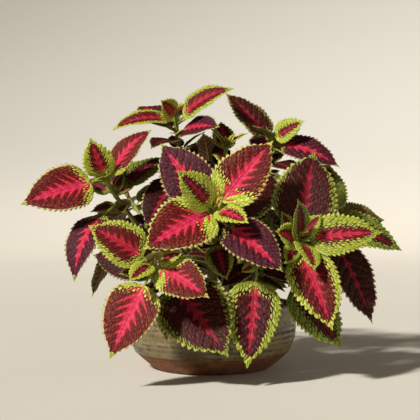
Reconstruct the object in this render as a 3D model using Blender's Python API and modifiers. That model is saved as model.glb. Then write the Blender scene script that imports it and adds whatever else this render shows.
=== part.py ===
"""A coleus in a low stoneware bowl: the bowl, its soil and each leafy stem.

Metres, +Z up. The origin is the centre of the bowl's flat base. The viewer stands at -Y,
with +X to the right. The plan of the plant is written in millimetres.
"""

import math
from collections import namedtuple

import bmesh
import bpy
import numpy as np
from mathutils import Vector
from mathutils.bvhtree import BVHTree

MM = 0.001

# The bowl, as radii and heights of its turned profile
BOWL_RADIUS = 84 * MM
BOWL_HEIGHT = 65 * MM
BOWL_WALL = 6 * MM
BASE_RADIUS = 57 * MM
FOOT_RADIUS = 76.5 * MM
FOOT_HEIGHT = 17 * MM
GLAZE_STEP = 0.7 * MM
LIP_SET_IN = 1.5 * MM
FLOOR_THICKNESS = 8 * MM
BOWL_SIDES = 36

# The soil, a low mound that stops short of the bowl's wall
SOIL_RADIUS = BOWL_RADIUS - BOWL_WALL - 2.4 * MM
SOIL_EDGE = 53 * MM
SOIL_CROWN = 58 * MM
SEAT_GAP = 0.3 * MM

# The stems, square in section as in all of the mint family
STEM_RADIUS = 3.0 * MM
STEM_TIP_RADIUS = 1.5 * MM
STEM_SUNK = 20 * MM
STEM_RISE = 1.1
STEM_BEND = 0.9
STEM_STEPS = 9
BUD_LENGTH = 9 * MM
BUD_RADIUS = 2.2 * MM
BUD_SIDES = 6
BUD_POINT = 0.3

# The leaves
BLADE_THICKNESS = 0.8 * MM
STALK_HALF_WIDTH = 1.2 * MM
TOOTH_DEPTH = 0.075
FIRST_TOOTH = 0.02
TOOTH_PEAK = 0.62
LARGE_TEETH = 6
SMALL_TEETH = 3
SMALL_LEAF = 48 * MM
ROUND_BASE = 0.42
DRAWN_TIP = 0.95
FOLD = math.radians(16)
CURL = 0.16

# How a leaf is turned until it is clear of its neighbours. A leaf's foot is the share of its
# length that may come near its own stem and its own pair.
CLEAR_HALF = 1.0 * MM
STEM_CLEAR = 5.0 * MM
BOWL_CLEAR = 2.5 * MM
TABLE_CLEAR = 4.0 * MM
LEAF_FOOT = 0.12
STALK_FOOT = 0.08
LEAF_END = 0.98
SLAB_ROWS = 9
SLAB_COLUMNS = 5
PROBE_ROWS = 15
PROBE_COLUMNS = 7
STEM_PROBES = 40
TURN_STEP = 7.0
MOST_TURNS = 6

# The rule of growth: each pair of leaves stands lower on the stem than the pair above it, a
# quarter turn round, leans out further and droops more.
PAIR_STEP = 0.03
PAIR_SPREAD = 0.035
SPREAD_POWER = 1.5
TOP_LEAN = 48
LEAN_STEP = 20
TOP_ARCH = 22
ARCH_STEP = 9
DROOP = 0.12
HEADING_SCATTER = 9
LEAN_SCATTER = 6
FACE_SCATTER = 10
SIZE_SCATTER = (0.9, 1.08)
WIDTH_SCATTER = (0.62, 0.72)

# at is the place along the stem, 1 at its tip. tip is the leaf's own tip, in millimetres. face
# is the way the leaf's upper side looks. arch is how far it droops along its length, in degrees.
# width is a share of the blade's length, stalk a share of the whole leaf's.
Leaf = namedtuple("Leaf", "at tip face arch width stalk", defaults=(30, 0.68, 0.14))

# root is where the stem leaves the soil; axis is the way its tip points.
Shoot = namedtuple("Shoot", "name root tip axis leaves")

FRONT_SHOOTS = [
    Shoot("shoot_front", (2, -30), (2, -96, 160), (0.0, -0.75, 0.65), [
        Leaf(1.00, (-32, -120, 196), (0.0, -0.8, 0.3), 15, 0.72, 0.10),
        Leaf(1.00, (33, -128, 148), (0.2, -0.8, 0.5), 15, 0.66, 0.10),
        Leaf(0.98, (-62, -130, 124), (-0.1, -0.9, 0.5), 25, 0.78, 0.06),
        Leaf(0.98, (57, -85, 224), (-0.2, -0.9, 0.1), 20, 0.68, 0.12),
        Leaf(0.91, (-49, -60, 222), (0.1, -0.9, 0.0), 20, 0.68, 0.16),
        Leaf(0.90, (64, -130, 104), (0.1, -0.8, 0.6), 25, 0.68, 0.20),
        Leaf(0.82, (66, -32, 191), (0.2, -0.8, 0.3), 20, 0.62, 0.20),
        Leaf(0.66, (14, -95, 94), (-0.2, -0.8, 0.4), 25, 0.70, 0.20),
    ]),
    Shoot("shoot_lower_left", (-28, -45), (-54, -120, 112), (-0.25, -0.85, 0.45), [
        Leaf(1.00, (-73, -152, 98), (0.1, -0.6, 0.7), 20, 0.60, 0.10),
        Leaf(1.00, (-46, -148, 126), (0.2, -0.8, 0.6), 20, 0.56, 0.10),
        Leaf(0.98, (-112, -120, 146), (-0.1, -0.9, 0.5), 35, 0.76, 0.16),
        Leaf(0.97, (-2, -150, 83), (0.1, -0.9, 0.4), 20, 0.74, 0.14),
        Leaf(0.92, (-91, -140, 28), (-0.2, -0.95, 0.3), 20, 0.72, 0.22),
        Leaf(0.84, (-112, -80, 117), (-0.3, -0.9, 0.1), 25, 0.60, 0.16),
        Leaf(0.52, (15, -138, 29), (-0.1, -0.95, 0.3), 20, 0.80, 0.16),
        Leaf(0.60, (-42, -100, 38), (-0.1, -0.9, 0.1), 20, 0.50, 0.30),
    ]),
    Shoot("shoot_right", (36, -28), (81, -78, 131), (0.3, -0.85, 0.45), [
        Leaf(1.00, (78, -108, 170), (0.6, -0.9, 0.1), 20, 0.56, 0.10),
        Leaf(1.00, (93, -118, 104), (0.5, -0.8, 0.4), 20, 0.60, 0.10),
        Leaf(0.97, (161, -78, 138), (0.0, -0.9, 0.5), 20, 0.64, 0.14),
        Leaf(0.98, (58, -103, 140), (0.8, -0.5, 0.2), 15, 0.84, 0.12),
        Leaf(0.92, (99, -35, 215), (0.1, -0.9, 0.4), 25, 0.78, 0.14),
        Leaf(0.94, (109, -120, 50), (0.1, -0.9, 0.2), 25, 0.62, 0.16),
        Leaf(0.60, (123, -70, 27), (0.1, -0.95, 0.1), 25, 0.62, 0.30),
    ]),
    Shoot("shoot_left", (-40, -6), (-105, -22, 188), (-0.35, -0.55, 0.75), [
        Leaf(1.00, (-118, -40, 228), (-0.1, -0.9, 0.2), 15, 0.78, 0.08),
        Leaf(1.00, (-118, -62, 184), (-0.3, -0.5, 0.8), 20, 0.60, 0.12),
        Leaf(0.98, (-184, -50, 163), (0.1, -0.8, 0.5), 30, 0.74, 0.18),
        Leaf(0.94, (-59, -12, 237), (-0.6, -0.7, 0.4), 55, 0.62, 0.16),
        Leaf(0.84, (-112, 40, 218), (-0.3, -0.6, 0.6), 25, 0.50, 0.14),
        Leaf(0.84, (-48, 34, 211), (0.0, -0.4, 0.9), 25, 0.62, 0.20),
        Leaf(0.76, (-131, -62, 90), (-0.5, -0.7, 0.7), 80, 0.60, 0.30),
    ]),
    Shoot("shoot_top_left", (-16, 22), (-37, 10, 250), (-0.1, -0.1, 1.0), [
        Leaf(1.00, (-51, -10, 266), (0.0, -0.9, 0.4), 15, 0.95, 0.08),
        Leaf(1.00, (-24, 30, 266), (-0.2, -0.8, 0.4), 15, 0.70, 0.12),
        Leaf(0.97, (-100, -5, 236), (-0.1, -0.5, 0.9), 60, 0.60, 0.12),
        Leaf(0.95, (22, -8, 278), (-0.4, -0.6, 0.7), 55, 0.66, 0.18),
        Leaf(0.91, (-78, 60, 264), (0.0, -0.4, 0.9), 35, 0.66, 0.14),
        Leaf(0.91, (8, -45, 238), (0.0, -0.7, 0.5), 25, 0.56, 0.16),
        Leaf(0.84, (-60, -42, 232), (0.1, -0.1, 1.0), 45, 0.56, 0.14),
        Leaf(0.70, (-69, -45, 148), (-0.3, -0.9, 0.1), 20, 0.60, 0.20),
    ]),
    Shoot("shoot_top_right", (24, 26), (60, 10, 227), (0.1, -0.25, 1.0), [
        Leaf(1.00, (92, -8, 246), (-0.2, -0.9, 0.4), 15, 0.72, 0.12),
        Leaf(1.00, (40, -26, 240), (-0.1, -0.5, 0.8), 20, 0.52, 0.12),
        Leaf(0.97, (13, 36, 277), (0.6, -0.8, 0.6), 25, 0.64, 0.12),
        Leaf(0.97, (127, -12, 199), (0.1, -0.7, 0.7), 50, 0.58, 0.14),
        Leaf(0.88, (60, 80, 236), (0.0, -0.2, 1.0), 35, 0.66, 0.14),
        Leaf(0.84, (84, -42, 192), (0.0, -0.3, 0.9), 30, 0.60, 0.14),
    ]),
    Shoot("shoot_low_front", (24, -50), (42, -80, 108), (0.1, -0.8, 0.6), [
        Leaf(1.00, (31, -128, 17), (0.1, -0.95, 0.3), 20, 0.62, 0.18),
        Leaf(1.00, (8, -90, 88), (-0.1, -0.7, 0.7), 25, 0.66, 0.20),
        Leaf(0.92, (76, -88, 92), (0.1, -0.6, 0.8), 25, 0.60, 0.20),
    ]),
    Shoot("shoot_low_right", (52, -2), (108, -22, 150), (0.8, -0.4, 0.5), [
        Leaf(1.00, (116, 8, 206), (0.4, -0.8, 0.4), 25, 0.86, 0.14),
        Leaf(1.00, (187, -25, 117), (0.2, -0.7, 0.7), 25, 0.62, 0.14),
        Leaf(0.98, (153, -60, 49), (0.3, -0.9, 0.4), 30, 0.52, 0.28),
    ]),
]


def vector(point):
    """A point of the plan, in metres."""
    return np.array(point, float) * MM


def unit(v):
    return v / np.linalg.norm(v)


def turned(v, axis, degrees):
    """v turned about a unit axis."""
    angle = math.radians(degrees)
    swing = np.cross(axis, v) * math.sin(angle)
    return v * math.cos(angle) + swing + axis * np.dot(axis, v) * (1 - math.cos(angle))


def stem_point(shoot, u):
    """A point on the stem: it leaves the soil upright, at 0, and ends along its axis, at 1."""
    root = np.array([*vector(shoot.root), SOIL_CROWN])
    tip = vector(shoot.tip)
    reach = np.linalg.norm(tip - root)
    start = np.array([0, 0, STEM_RISE]) * reach
    end = unit(np.array(shoot.axis)) * STEM_BEND * reach
    u = np.atleast_1d(u)[:, None]
    return (
        (2 * u**3 - 3 * u**2 + 1) * root
        + (u**3 - 2 * u**2 + u) * start
        + (3 * u**2 - 2 * u**3) * tip
        + (u**3 - u**2) * end
    )


def stem_line(shoot):
    """The stem's points, from its foot in the soil to its tip."""
    above = stem_point(shoot, np.linspace(0, 1, STEM_STEPS))
    foot = above[0] - [0, 0, STEM_SUNK]
    return np.vstack([foot, above])


class Blade:
    """One leaf in place: its frame, its sizes and the surface between its midrib and margins."""

    def __init__(self, shoot, leaf, turn, lift):
        axis = unit(np.array(shoot.axis))
        node = stem_point(shoot, leaf.at)[0]
        chord = turned(vector(leaf.tip) - node, axis, turn)
        level = unit(np.cross(chord, axis))
        chord = turned(chord, level, lift)
        face = turned(turned(np.array(leaf.face), axis, turn), level, lift)
        self.node = node
        self.chord = np.linalg.norm(chord)
        self.along = chord / self.chord
        self.up = unit(face - self.along * np.dot(face, self.along))
        self.side = np.cross(self.up, self.along)
        self.arch = math.radians(max(leaf.arch, 1))
        self.bend_radius = self.chord / (2 * math.sin(self.arch / 2))
        self.stalk = leaf.stalk
        self.blade_length = self.bend_radius * self.arch * (1 - leaf.stalk)
        self.half_width = self.blade_length * leaf.width / 2
        self.teeth = SMALL_TEETH if self.chord < SMALL_LEAF else LARGE_TEETH

    def outline(self, t):
        """The blade's half width at t, from 0 at its broad base to 1 at its drawn-out tip."""
        widest = ROUND_BASE / (ROUND_BASE + DRAWN_TIP)
        most = widest**ROUND_BASE * (1 - widest) ** DRAWN_TIP
        t = np.clip(t, 0, 1)
        return self.half_width * t**ROUND_BASE * (1 - t) ** DRAWN_TIP / most

    def points(self, q, offset, lift=0):
        """Points at q along the whole leaf, offset to the side and lifted off the surface."""
        angle = self.arch * (0.5 - q)
        x = self.bend_radius * (math.sin(self.arch / 2) - np.sin(angle))
        z = self.bend_radius * (np.cos(angle) - math.cos(self.arch / 2))
        width = np.maximum(self.outline((q - self.stalk) / (1 - self.stalk)), 1e-9)
        across = np.abs(offset)
        rise = across * math.sin(FOLD) - CURL * across**2 / np.maximum(width, across + 1e-9)
        rise = np.where(q <= self.stalk, 0, rise) + lift
        x = x - np.sin(angle) * rise
        z = z + np.cos(angle) * rise
        return (
            self.node
            + x[:, None] * self.along
            + (offset * math.cos(FOLD))[:, None] * self.side
            + z[:, None] * self.up
        )

    def rows(self):
        """q and half width of each row of the toothed outline, stalk first."""
        rows = [(0.0, STALK_HALF_WIDTH), (self.stalk * 0.9, STALK_HALF_WIDTH)]
        for tooth in range(self.teeth):
            for part in (0.0, TOOTH_PEAK):
                t = FIRST_TOOTH + (1 - FIRST_TOOTH) * (tooth + part) / self.teeth
                half = self.outline(t) * (1 + (TOOTH_DEPTH if part else -TOOTH_DEPTH))
                rows.append((self.stalk + (1 - self.stalk) * t, max(half, STALK_HALF_WIDTH)))
        rows.append((1.0, 0.0))
        return np.array(rows)

    def samples(self, rows, columns, start, lift=0.0):
        """A plain grid over the leaf, for measuring what it touches."""
        q = np.repeat(np.linspace(start, LEAF_END, rows), columns)
        t = (q - self.stalk) / (1 - self.stalk)
        half = np.maximum(self.outline(t) * (1 + TOOTH_DEPTH), STALK_HALF_WIDTH)
        return self.points(q, np.tile(np.linspace(-1, 1, columns), rows) * half, lift)

    def slab(self, start):
        """The leaf as two sheets a little further apart than its faces, as a tree to search."""
        lifts = (-CLEAR_HALF, CLEAR_HALF)
        sheets = [self.samples(SLAB_ROWS, SLAB_COLUMNS, start, lift) for lift in lifts]
        quads = []
        for first in (0, SLAB_ROWS * SLAB_COLUMNS):
            for row in range(SLAB_ROWS - 1):
                for column in range(SLAB_COLUMNS - 1):
                    corner = first + row * SLAB_COLUMNS + column
                    quads.append((corner, corner + 1, corner + SLAB_COLUMNS + 1, corner + SLAB_COLUMNS))
        return BVHTree.FromPolygons(np.vstack(sheets).tolist(), quads)


def bowl_radius_at(z):
    """The bowl's outer radius at a height, as straight runs between its driving sizes."""
    heights = [0, FOOT_HEIGHT, 0.5 * BOWL_HEIGHT]
    return np.interp(z, heights, [BASE_RADIUS, FOOT_RADIUS, BOWL_RADIUS])


def touches_bowl(points):
    """Whether any point is in the bowl's wall, in the soil or under the table's clearance."""
    r = np.hypot(points[:, 0], points[:, 1])
    z = points[:, 2]
    in_bowl = (r < bowl_radius_at(z) + BOWL_CLEAR) & (z < BOWL_HEIGHT + BOWL_CLEAR)
    over_soil = (r < SOIL_RADIUS - BOWL_CLEAR) & (z > SOIL_CROWN + BOWL_CLEAR)
    return bool(((in_bowl & ~over_soil) | (z < TABLE_CLEAR)).any())


def touches_stem(points, line):
    """Whether any point is near a stem's centre line."""
    gaps = np.linalg.norm(points[:, None] - line[None], axis=2)
    return bool((gaps < STEM_CLEAR).any())


def turns():
    """Small turns about the stem and lifts from it, the smallest first."""
    reach = range(-MOST_TURNS, MOST_TURNS + 1)
    pairs = [(a, b) for a in reach for b in reach]
    pairs.sort(key=lambda p: (p[0] ** 2 + p[1] ** 2, p))
    return [(a * TURN_STEP, b * TURN_STEP) for a, b in pairs]


def settled(shoots):
    """Each shoot's blades, every leaf turned by the least that clears those placed before it.

    A leaf that finds no room is left out.
    """
    lines = {s.name: stem_point(s, np.linspace(0, 1, STEM_PROBES)) for s in shoots}
    placed = []
    blades = {s.name: [] for s in shoots}
    for shoot in shoots:
        for leaf in shoot.leaves:
            for turn, lift in turns():
                blade = Blade(shoot, leaf, turn, lift)
                if is_clear(blade, shoot.name, placed, lines):
                    placed.append((shoot.name, blade.slab(0), blade.slab(blade.stalk + LEAF_FOOT)))
                    blades[shoot.name].append(blade)
                    break
    return blades


def is_clear(blade, name, placed, lines):
    """Whether a blade is clear of the bowl, every stem and every leaf placed so far."""
    outer = blade.samples(PROBE_ROWS, PROBE_COLUMNS, blade.stalk + LEAF_FOOT)
    whole = blade.samples(PROBE_ROWS, PROBE_COLUMNS, STALK_FOOT)
    if touches_bowl(whole):
        return False
    for other, line in lines.items():
        if touches_stem(outer if other == name else whole, line):
            return False
    slab = blade.slab(0)
    beyond_foot = blade.slab(blade.stalk + LEAF_FOOT)
    for other, other_slab, other_beyond_foot in placed:
        if other == name:
            if beyond_foot.overlap(other_beyond_foot):
                return False
        elif slab.overlap(other_slab):
            return False
    return True


def grown(name, root, tip, axis, first, lengths, seed):
    """A shoot whose leaves follow the rule of growth, from the youngest pair down."""
    rng = np.random.default_rng(seed)
    shoot = Shoot(name, root, tip, axis, [])
    axis = unit(np.array(axis))
    level = unit(np.cross(axis, [0.3, 1.0, 0.1]))
    for pair, length in enumerate(lengths):
        at = 1 - PAIR_STEP * pair - PAIR_SPREAD * pair**SPREAD_POWER
        node = stem_point(shoot, at)[0]
        for half in (0, 180):
            scatter = rng.uniform(-1, 1, 3)
            heading = turned(level, axis, first + 90 * pair + half + scatter[0] * HEADING_SCATTER)
            lean = math.radians(TOP_LEAN + LEAN_STEP * pair + scatter[1] * LEAN_SCATTER)
            way = heading * math.sin(lean) + axis * math.cos(lean)
            way = unit(way - [0, 0, DROOP * pair])
            tip_point = node / MM + way * length * rng.uniform(*SIZE_SCATTER)
            face = turned(axis, way, scatter[2] * FACE_SCATTER)
            arch = TOP_ARCH + ARCH_STEP * pair
            shoot.leaves.append(Leaf(at, tip_point, face, arch, rng.uniform(*WIDTH_SCATTER)))
    return shoot


def all_shoots():
    """The shoots placed from the photograph, then those that the rule grows behind them."""
    behind = [
        grown("shoot_crown", (2, 4), (14, -2, 220), (0.1, -0.5, 0.85), 20, (26, 44, 56), 3),
        grown("shoot_right_back", (60, 26), (132, 46, 150), (0.75, 0.3, 0.65), 30, (30, 58, 76), 5),
        grown("shoot_back_right", (34, 50), (70, 112, 168), (0.45, 0.65, 0.6), 65, (28, 60, 78, 74), 8),
        grown("shoot_back", (-2, 54), (0, 128, 200), (0.0, 0.6, 0.8), 15, (28, 60, 80, 76), 11),
        grown("shoot_back_left", (-42, 40), (-92, 92, 172), (-0.5, 0.5, 0.7), 40, (28, 60, 78, 74), 14),
        grown("shoot_low_back", (12, 66), (20, 118, 96), (0.1, 0.9, 0.4), 45, (26, 54, 70), 17),
    ]
    return FRONT_SHOOTS + behind


def clear_scene():
    for obj in list(bpy.data.objects):
        bpy.data.objects.remove(obj, do_unlink=True)


def collection(name, hidden=False):
    made = bpy.data.collections.new(name)
    bpy.context.scene.collection.children.link(made)
    made.hide_render = hidden
    return made


def material(name, colour, roughness, metallic=0.0):
    made = bpy.data.materials.new(name)
    made.use_nodes = True
    shader = made.node_tree.nodes["Principled BSDF"]
    shader.inputs["Base Color"].default_value = (*colour, 1)
    shader.inputs["Roughness"].default_value = roughness
    shader.inputs["Metallic"].default_value = metallic
    return made


def add_object(name, mesh, into):
    obj = bpy.data.objects.new(name, mesh)
    into.objects.link(obj)
    return obj


def as_mesh(obj, name, into):
    """The object with its modifiers applied, in place of the object itself."""
    graph = bpy.context.evaluated_depsgraph_get()
    mesh = bpy.data.meshes.new_from_object(obj.evaluated_get(graph))
    mesh.transform(obj.matrix_world)
    bpy.data.objects.remove(obj, do_unlink=True)
    form = bmesh.new()
    form.from_mesh(mesh)
    bmesh.ops.remove_doubles(form, verts=form.verts, dist=1e-6)
    form.to_mesh(mesh)
    form.free()
    mesh.name = name
    return add_object(name, mesh, into)


def turned_object(name, profile, into):
    """A profile of (radius, height) points turned about the Z axis."""
    mesh = bpy.data.meshes.new(name)
    mesh.from_pydata([(r, 0, z) for r, z in profile], [(i, i + 1) for i in range(len(profile) - 1)], [])
    obj = add_object(name, mesh, into)
    screw = obj.modifiers.new("turn", "SCREW")
    screw.steps = screw.render_steps = BOWL_SIDES
    screw.use_merge_vertices = True
    screw.merge_threshold = 0.0001
    return obj


def bowl(into):
    """The thrown bowl: a plain clay foot, a step up to the glaze, a full belly and a rounded lip."""
    inner = BOWL_RADIUS - BOWL_WALL
    lip = BOWL_RADIUS - LIP_SET_IN
    profile = [
        (0, FLOOR_THICKNESS),
        (BASE_RADIUS - 4 * MM, FLOOR_THICKNESS),
        (FOOT_RADIUS - BOWL_WALL, FOOT_HEIGHT + 4 * MM),
        (inner, 0.5 * BOWL_HEIGHT),
        (inner - 0.5 * MM, BOWL_HEIGHT - 3 * MM),
        (inner + 1 * MM, BOWL_HEIGHT - 0.8 * MM),
        (lip - 2.2 * MM, BOWL_HEIGHT),
        (lip - 0.8 * MM, BOWL_HEIGHT - 0.9 * MM),
        (lip, BOWL_HEIGHT - 3 * MM),
        (BOWL_RADIUS, 0.72 * BOWL_HEIGHT),
        (BOWL_RADIUS, 0.6 * BOWL_HEIGHT),
        (BOWL_RADIUS - 1.4 * MM, 0.45 * BOWL_HEIGHT),
        (FOOT_RADIUS + GLAZE_STEP, FOOT_HEIGHT),
        (FOOT_RADIUS, FOOT_HEIGHT - 0.6 * MM),
        (BASE_RADIUS + 11 * MM, 8.5 * MM),
        (BASE_RADIUS + 1.5 * MM, 1.2 * MM),
        (BASE_RADIUS - 0.5 * MM, 0),
        (0, 0),
    ]
    obj = turned_object("bowl", profile, into)
    obj.data.materials.append(material("stoneware", (0.36, 0.29, 0.19), 0.45))
    return obj


def soil(into, lines, cutters):
    """The potting soil, bedded on the bowl's floor, with a plain hole for each stem."""
    gap = SEAT_GAP
    low_radius = FOOT_RADIUS - BOWL_WALL - 4 * MM
    profile = [
        (0, SOIL_CROWN),
        (0.45 * SOIL_RADIUS, SOIL_CROWN - 0.6 * MM),
        (0.85 * SOIL_RADIUS, SOIL_EDGE + 2 * MM),
        (SOIL_RADIUS, SOIL_EDGE),
        (SOIL_RADIUS, 0.5 * BOWL_HEIGHT),
        (low_radius, FOOT_HEIGHT + 4 * MM),
        (BASE_RADIUS - 9 * MM, FLOOR_THICKNESS + gap),
        (0, FLOOR_THICKNESS + gap),
    ]
    obj = turned_object("soil", profile, into)
    obj.data.materials.append(material("potting_soil", (0.035, 0.024, 0.016), 0.95))
    for name, line in lines.items():
        below = line[0] - [0, 0, gap]
        above = line[2] + (line[2] - line[1])
        cutter = tube(f"hole_{name}", [below, *line[1:3], above], 1, cutters, gap * 1.5)
        cutter.display_type = "WIRE"
        cutter.hide_render = True
        cut = obj.modifiers.new(f"hole_{name}", "BOOLEAN")
        cut.operation = "DIFFERENCE"
        cut.object = cutter
    return obj


def tube(name, line, taper, into, extra=0.0):
    """A stem along a line of points: square in section, thinner towards its tip."""
    curve = bpy.data.curves.new(name, "CURVE")
    curve.dimensions = "3D"
    curve.bevel_depth = STEM_RADIUS + extra
    curve.bevel_resolution = 0
    curve.use_fill_caps = True
    spline = curve.splines.new("POLY")
    spline.points.add(len(line) - 1)
    for point, place, share in zip(spline.points, line, np.linspace(0, 1, len(line))):
        point.co = (*place, 1)
        point.radius = 1 + (taper - 1) * share
    obj = bpy.data.objects.new(name, curve)
    into.objects.link(obj)
    return as_mesh(obj, name, into)


def bud(shoot, into):
    """The pointed bud that closes a stem's tip."""
    mesh = bpy.data.meshes.new("bud")
    form = bmesh.new()
    bmesh.ops.create_cone(
        form, cap_ends=True, segments=BUD_SIDES, radius1=BUD_RADIUS, radius2=BUD_RADIUS * BUD_POINT,
        depth=BUD_LENGTH,
    )
    form.to_mesh(mesh)
    form.free()
    obj = add_object("bud", mesh, into)
    axis = Vector(unit(np.array(shoot.axis)))
    obj.rotation_mode = "QUATERNION"
    obj.rotation_quaternion = axis.to_track_quat("Z", "Y")
    obj.location = Vector(vector(shoot.tip)) + axis * BUD_LENGTH * BUD_POINT
    return obj


def leaf_object(blade, into):
    """One leaf as a thin solid: a strip of stalk and a toothed blade folded along its midrib."""
    rows = blade.rows()
    mesh = bpy.data.meshes.new("leaf")
    form = bmesh.new()
    bmesh.ops.create_grid(form, x_segments=2, y_segments=len(rows) - 1, size=1)
    order = sorted(form.verts, key=lambda v: (round(v.co.y, 5), v.co.x))
    q = np.repeat(rows[:, 0], 3)
    offset = (rows[:, 1:] * [-1, 0, 1]).ravel()
    for vertex, place in zip(order, blade.points(q, offset)):
        vertex.co = place
    bmesh.ops.remove_doubles(form, verts=form.verts, dist=1e-6)
    bmesh.ops.triangulate(form, faces=form.faces)
    form.to_mesh(mesh)
    form.free()
    obj = add_object("leaf", mesh, into)
    thicken = obj.modifiers.new("thickness", "SOLIDIFY")
    thicken.thickness = BLADE_THICKNESS
    thicken.offset = 0
    return as_mesh(obj, "leaf", into)


def leafy_stem(shoot, blades, into, green):
    """One stem with its leaves and bud, grown together as one body."""
    pieces = collection(f"pieces_{shoot.name}")
    stem = tube(shoot.name, stem_line(shoot), STEM_TIP_RADIUS / STEM_RADIUS, into)
    for blade in blades:
        leaf_object(blade, pieces)
    bud(shoot, pieces)
    join = stem.modifiers.new("grown_together", "BOOLEAN")
    join.operation = "UNION"
    join.operand_type = "COLLECTION"
    join.collection = pieces
    joined = as_mesh(stem, shoot.name, into)
    for piece in list(pieces.objects):
        bpy.data.objects.remove(piece, do_unlink=True)
    bpy.data.collections.remove(pieces)
    joined.data.materials.clear()
    joined.data.materials.append(green)
    return joined


def main():
    clear_scene()
    plant = collection("coleus")
    cutters = collection("cutters", hidden=True)
    shoots = all_shoots()
    blades = settled(shoots)
    bowl(plant)
    soil(plant, {s.name: stem_line(s) for s in shoots}, cutters)
    leaf_colour = material("coleus_leaf", (0.30, 0.03, 0.06), 0.5)
    for shoot in shoots:
        leafy_stem(shoot, blades[shoot.name], plant, leaf_colour)


if __name__ == "__main__":
    main()
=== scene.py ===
"""The looks of a potted coleus: toothed variegated leaves on square stems, in a thrown bowl.

Metres, +Z up. The plan of the plant, in millimetres, is the one that its solids follow, so that
every fine leaf lies in the place of its plain solid.
"""

import math
from collections import namedtuple

import bpy
import numpy as np
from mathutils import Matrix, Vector
from mathutils.bvhtree import BVHTree


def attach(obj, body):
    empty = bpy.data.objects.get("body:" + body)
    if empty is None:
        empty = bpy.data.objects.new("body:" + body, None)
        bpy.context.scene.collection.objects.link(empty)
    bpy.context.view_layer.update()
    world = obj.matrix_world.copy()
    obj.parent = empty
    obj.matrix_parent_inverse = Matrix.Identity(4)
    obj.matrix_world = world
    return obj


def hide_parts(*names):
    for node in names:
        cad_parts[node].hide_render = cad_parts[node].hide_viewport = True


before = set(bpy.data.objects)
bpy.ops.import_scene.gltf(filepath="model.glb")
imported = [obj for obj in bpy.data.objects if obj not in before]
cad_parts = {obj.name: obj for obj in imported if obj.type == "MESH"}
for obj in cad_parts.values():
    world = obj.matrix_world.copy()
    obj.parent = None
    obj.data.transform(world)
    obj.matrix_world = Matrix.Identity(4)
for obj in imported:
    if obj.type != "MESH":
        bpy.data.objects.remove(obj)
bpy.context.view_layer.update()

MM = 0.001

# The bowl and its soil
BOWL_RADIUS = 84 * MM
BOWL_HEIGHT = 65 * MM
BOWL_WALL = 6 * MM
BASE_RADIUS = 57 * MM
FOOT_RADIUS = 76.5 * MM
FOOT_HEIGHT = 17 * MM
GLAZE_STEP = 0.7 * MM
LIP_SET_IN = 1.5 * MM
FLOOR_THICKNESS = 8 * MM
SOIL_RADIUS = BOWL_RADIUS - BOWL_WALL - 2.4 * MM
SOIL_EDGE = 53 * MM
SOIL_CROWN = 58 * MM
SEAT_GAP = 0.3 * MM

# The stems
STEM_RADIUS = 3.0 * MM
STEM_TIP_RADIUS = 1.5 * MM
STEM_SUNK = 20 * MM
STEM_RISE = 1.1
STEM_BEND = 0.9

# The leaves
STALK_HALF_WIDTH = 1.2 * MM
TOOTH_DEPTH = 0.075
SMALL_LEAF = 48 * MM
ROUND_BASE = 0.42
DRAWN_TIP = 0.95
FOLD = math.radians(16)
CURL = 0.16

# How a leaf is turned until it is clear of its neighbours
CLEAR_HALF = 1.0 * MM
STEM_CLEAR = 5.0 * MM
BOWL_CLEAR = 2.5 * MM
TABLE_CLEAR = 4.0 * MM
LEAF_FOOT = 0.12
STALK_FOOT = 0.08
LEAF_END = 0.98
SLAB_ROWS = 9
SLAB_COLUMNS = 5
PROBE_ROWS = 15
PROBE_COLUMNS = 7
STEM_PROBES = 40
TURN_STEP = 7.0
MOST_TURNS = 6

# The leaves at the lower nodes, and the tiny ones in the axils
INNER_NODES = (0.32, 0.44, 0.56, 0.68, 0.8)
INNER_LENGTHS = (30, 46)
INNER_REACH = 86 * MM
INNER_LOOKS = ("dark", "green", "dark", "ember", "dark", "mottled")
INNER_TURN = 45
INNER_SCATTER = 20
INNER_RISE = (0.1, 0.9)
INNER_ARCH = 30
BARE_STEMS = ("shoot_left",)
AXIL_LENGTHS = (20, 36)
AXIL_RISE = 0.5
AXIL_SPREAD = 1.0
AXIL_ARCH = 25
SPROUTS_ABOVE = 0.88
SMALL_WIDTH = 0.68
SMALL_STALK = 0.2

# The folded leaves of a bud
BUD_LENGTHS = (17, 11)
BUD_TURN = 45
BUD_LEAN = 30
BUD_LEAN_STEP = -8
BUD_ARCH = 1
BUD_WIDTH = 0.6
BUD_STALK = 0.04

# The rule of growth for the shoots behind
PAIR_STEP = 0.03
PAIR_SPREAD = 0.035
SPREAD_POWER = 1.5
TOP_LEAN = 48
LEAN_STEP = 20
TOP_ARCH = 22
ARCH_STEP = 9
DROOP = 0.12
HEADING_SCATTER = 9
LEAN_SCATTER = 6
FACE_SCATTER = 10
SIZE_SCATTER = (0.9, 1.08)
WIDTH_SCATTER = (0.62, 0.72)

# at is the place along the stem, 1 at its tip. tip is the leaf's own tip, in millimetres. face
# is the way the leaf's upper side looks. arch is how far it droops along its length, in degrees.
# width is a share of the blade's length, stalk a share of the whole leaf's.
Leaf = namedtuple("Leaf", "at tip face arch width stalk", defaults=(30, 0.68, 0.14))

# root is where the stem leaves the soil; axis is the way its tip points. looks names a look for
# each leaf.
Shoot = namedtuple("Shoot", "name root tip axis leaves looks")

# How a leaf is coloured: the size of its flame, how hot the flame's pink is, how wide its lime
# margin is, how far lime spreads from its base, how dark its field is, and how fresh its green is.
# Each is from 0 to 1, apart from lime: the margin reaches the midrib at about 1.3.
Look = namedtuple("Look", "flame pink lime base dark fresh")

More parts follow.
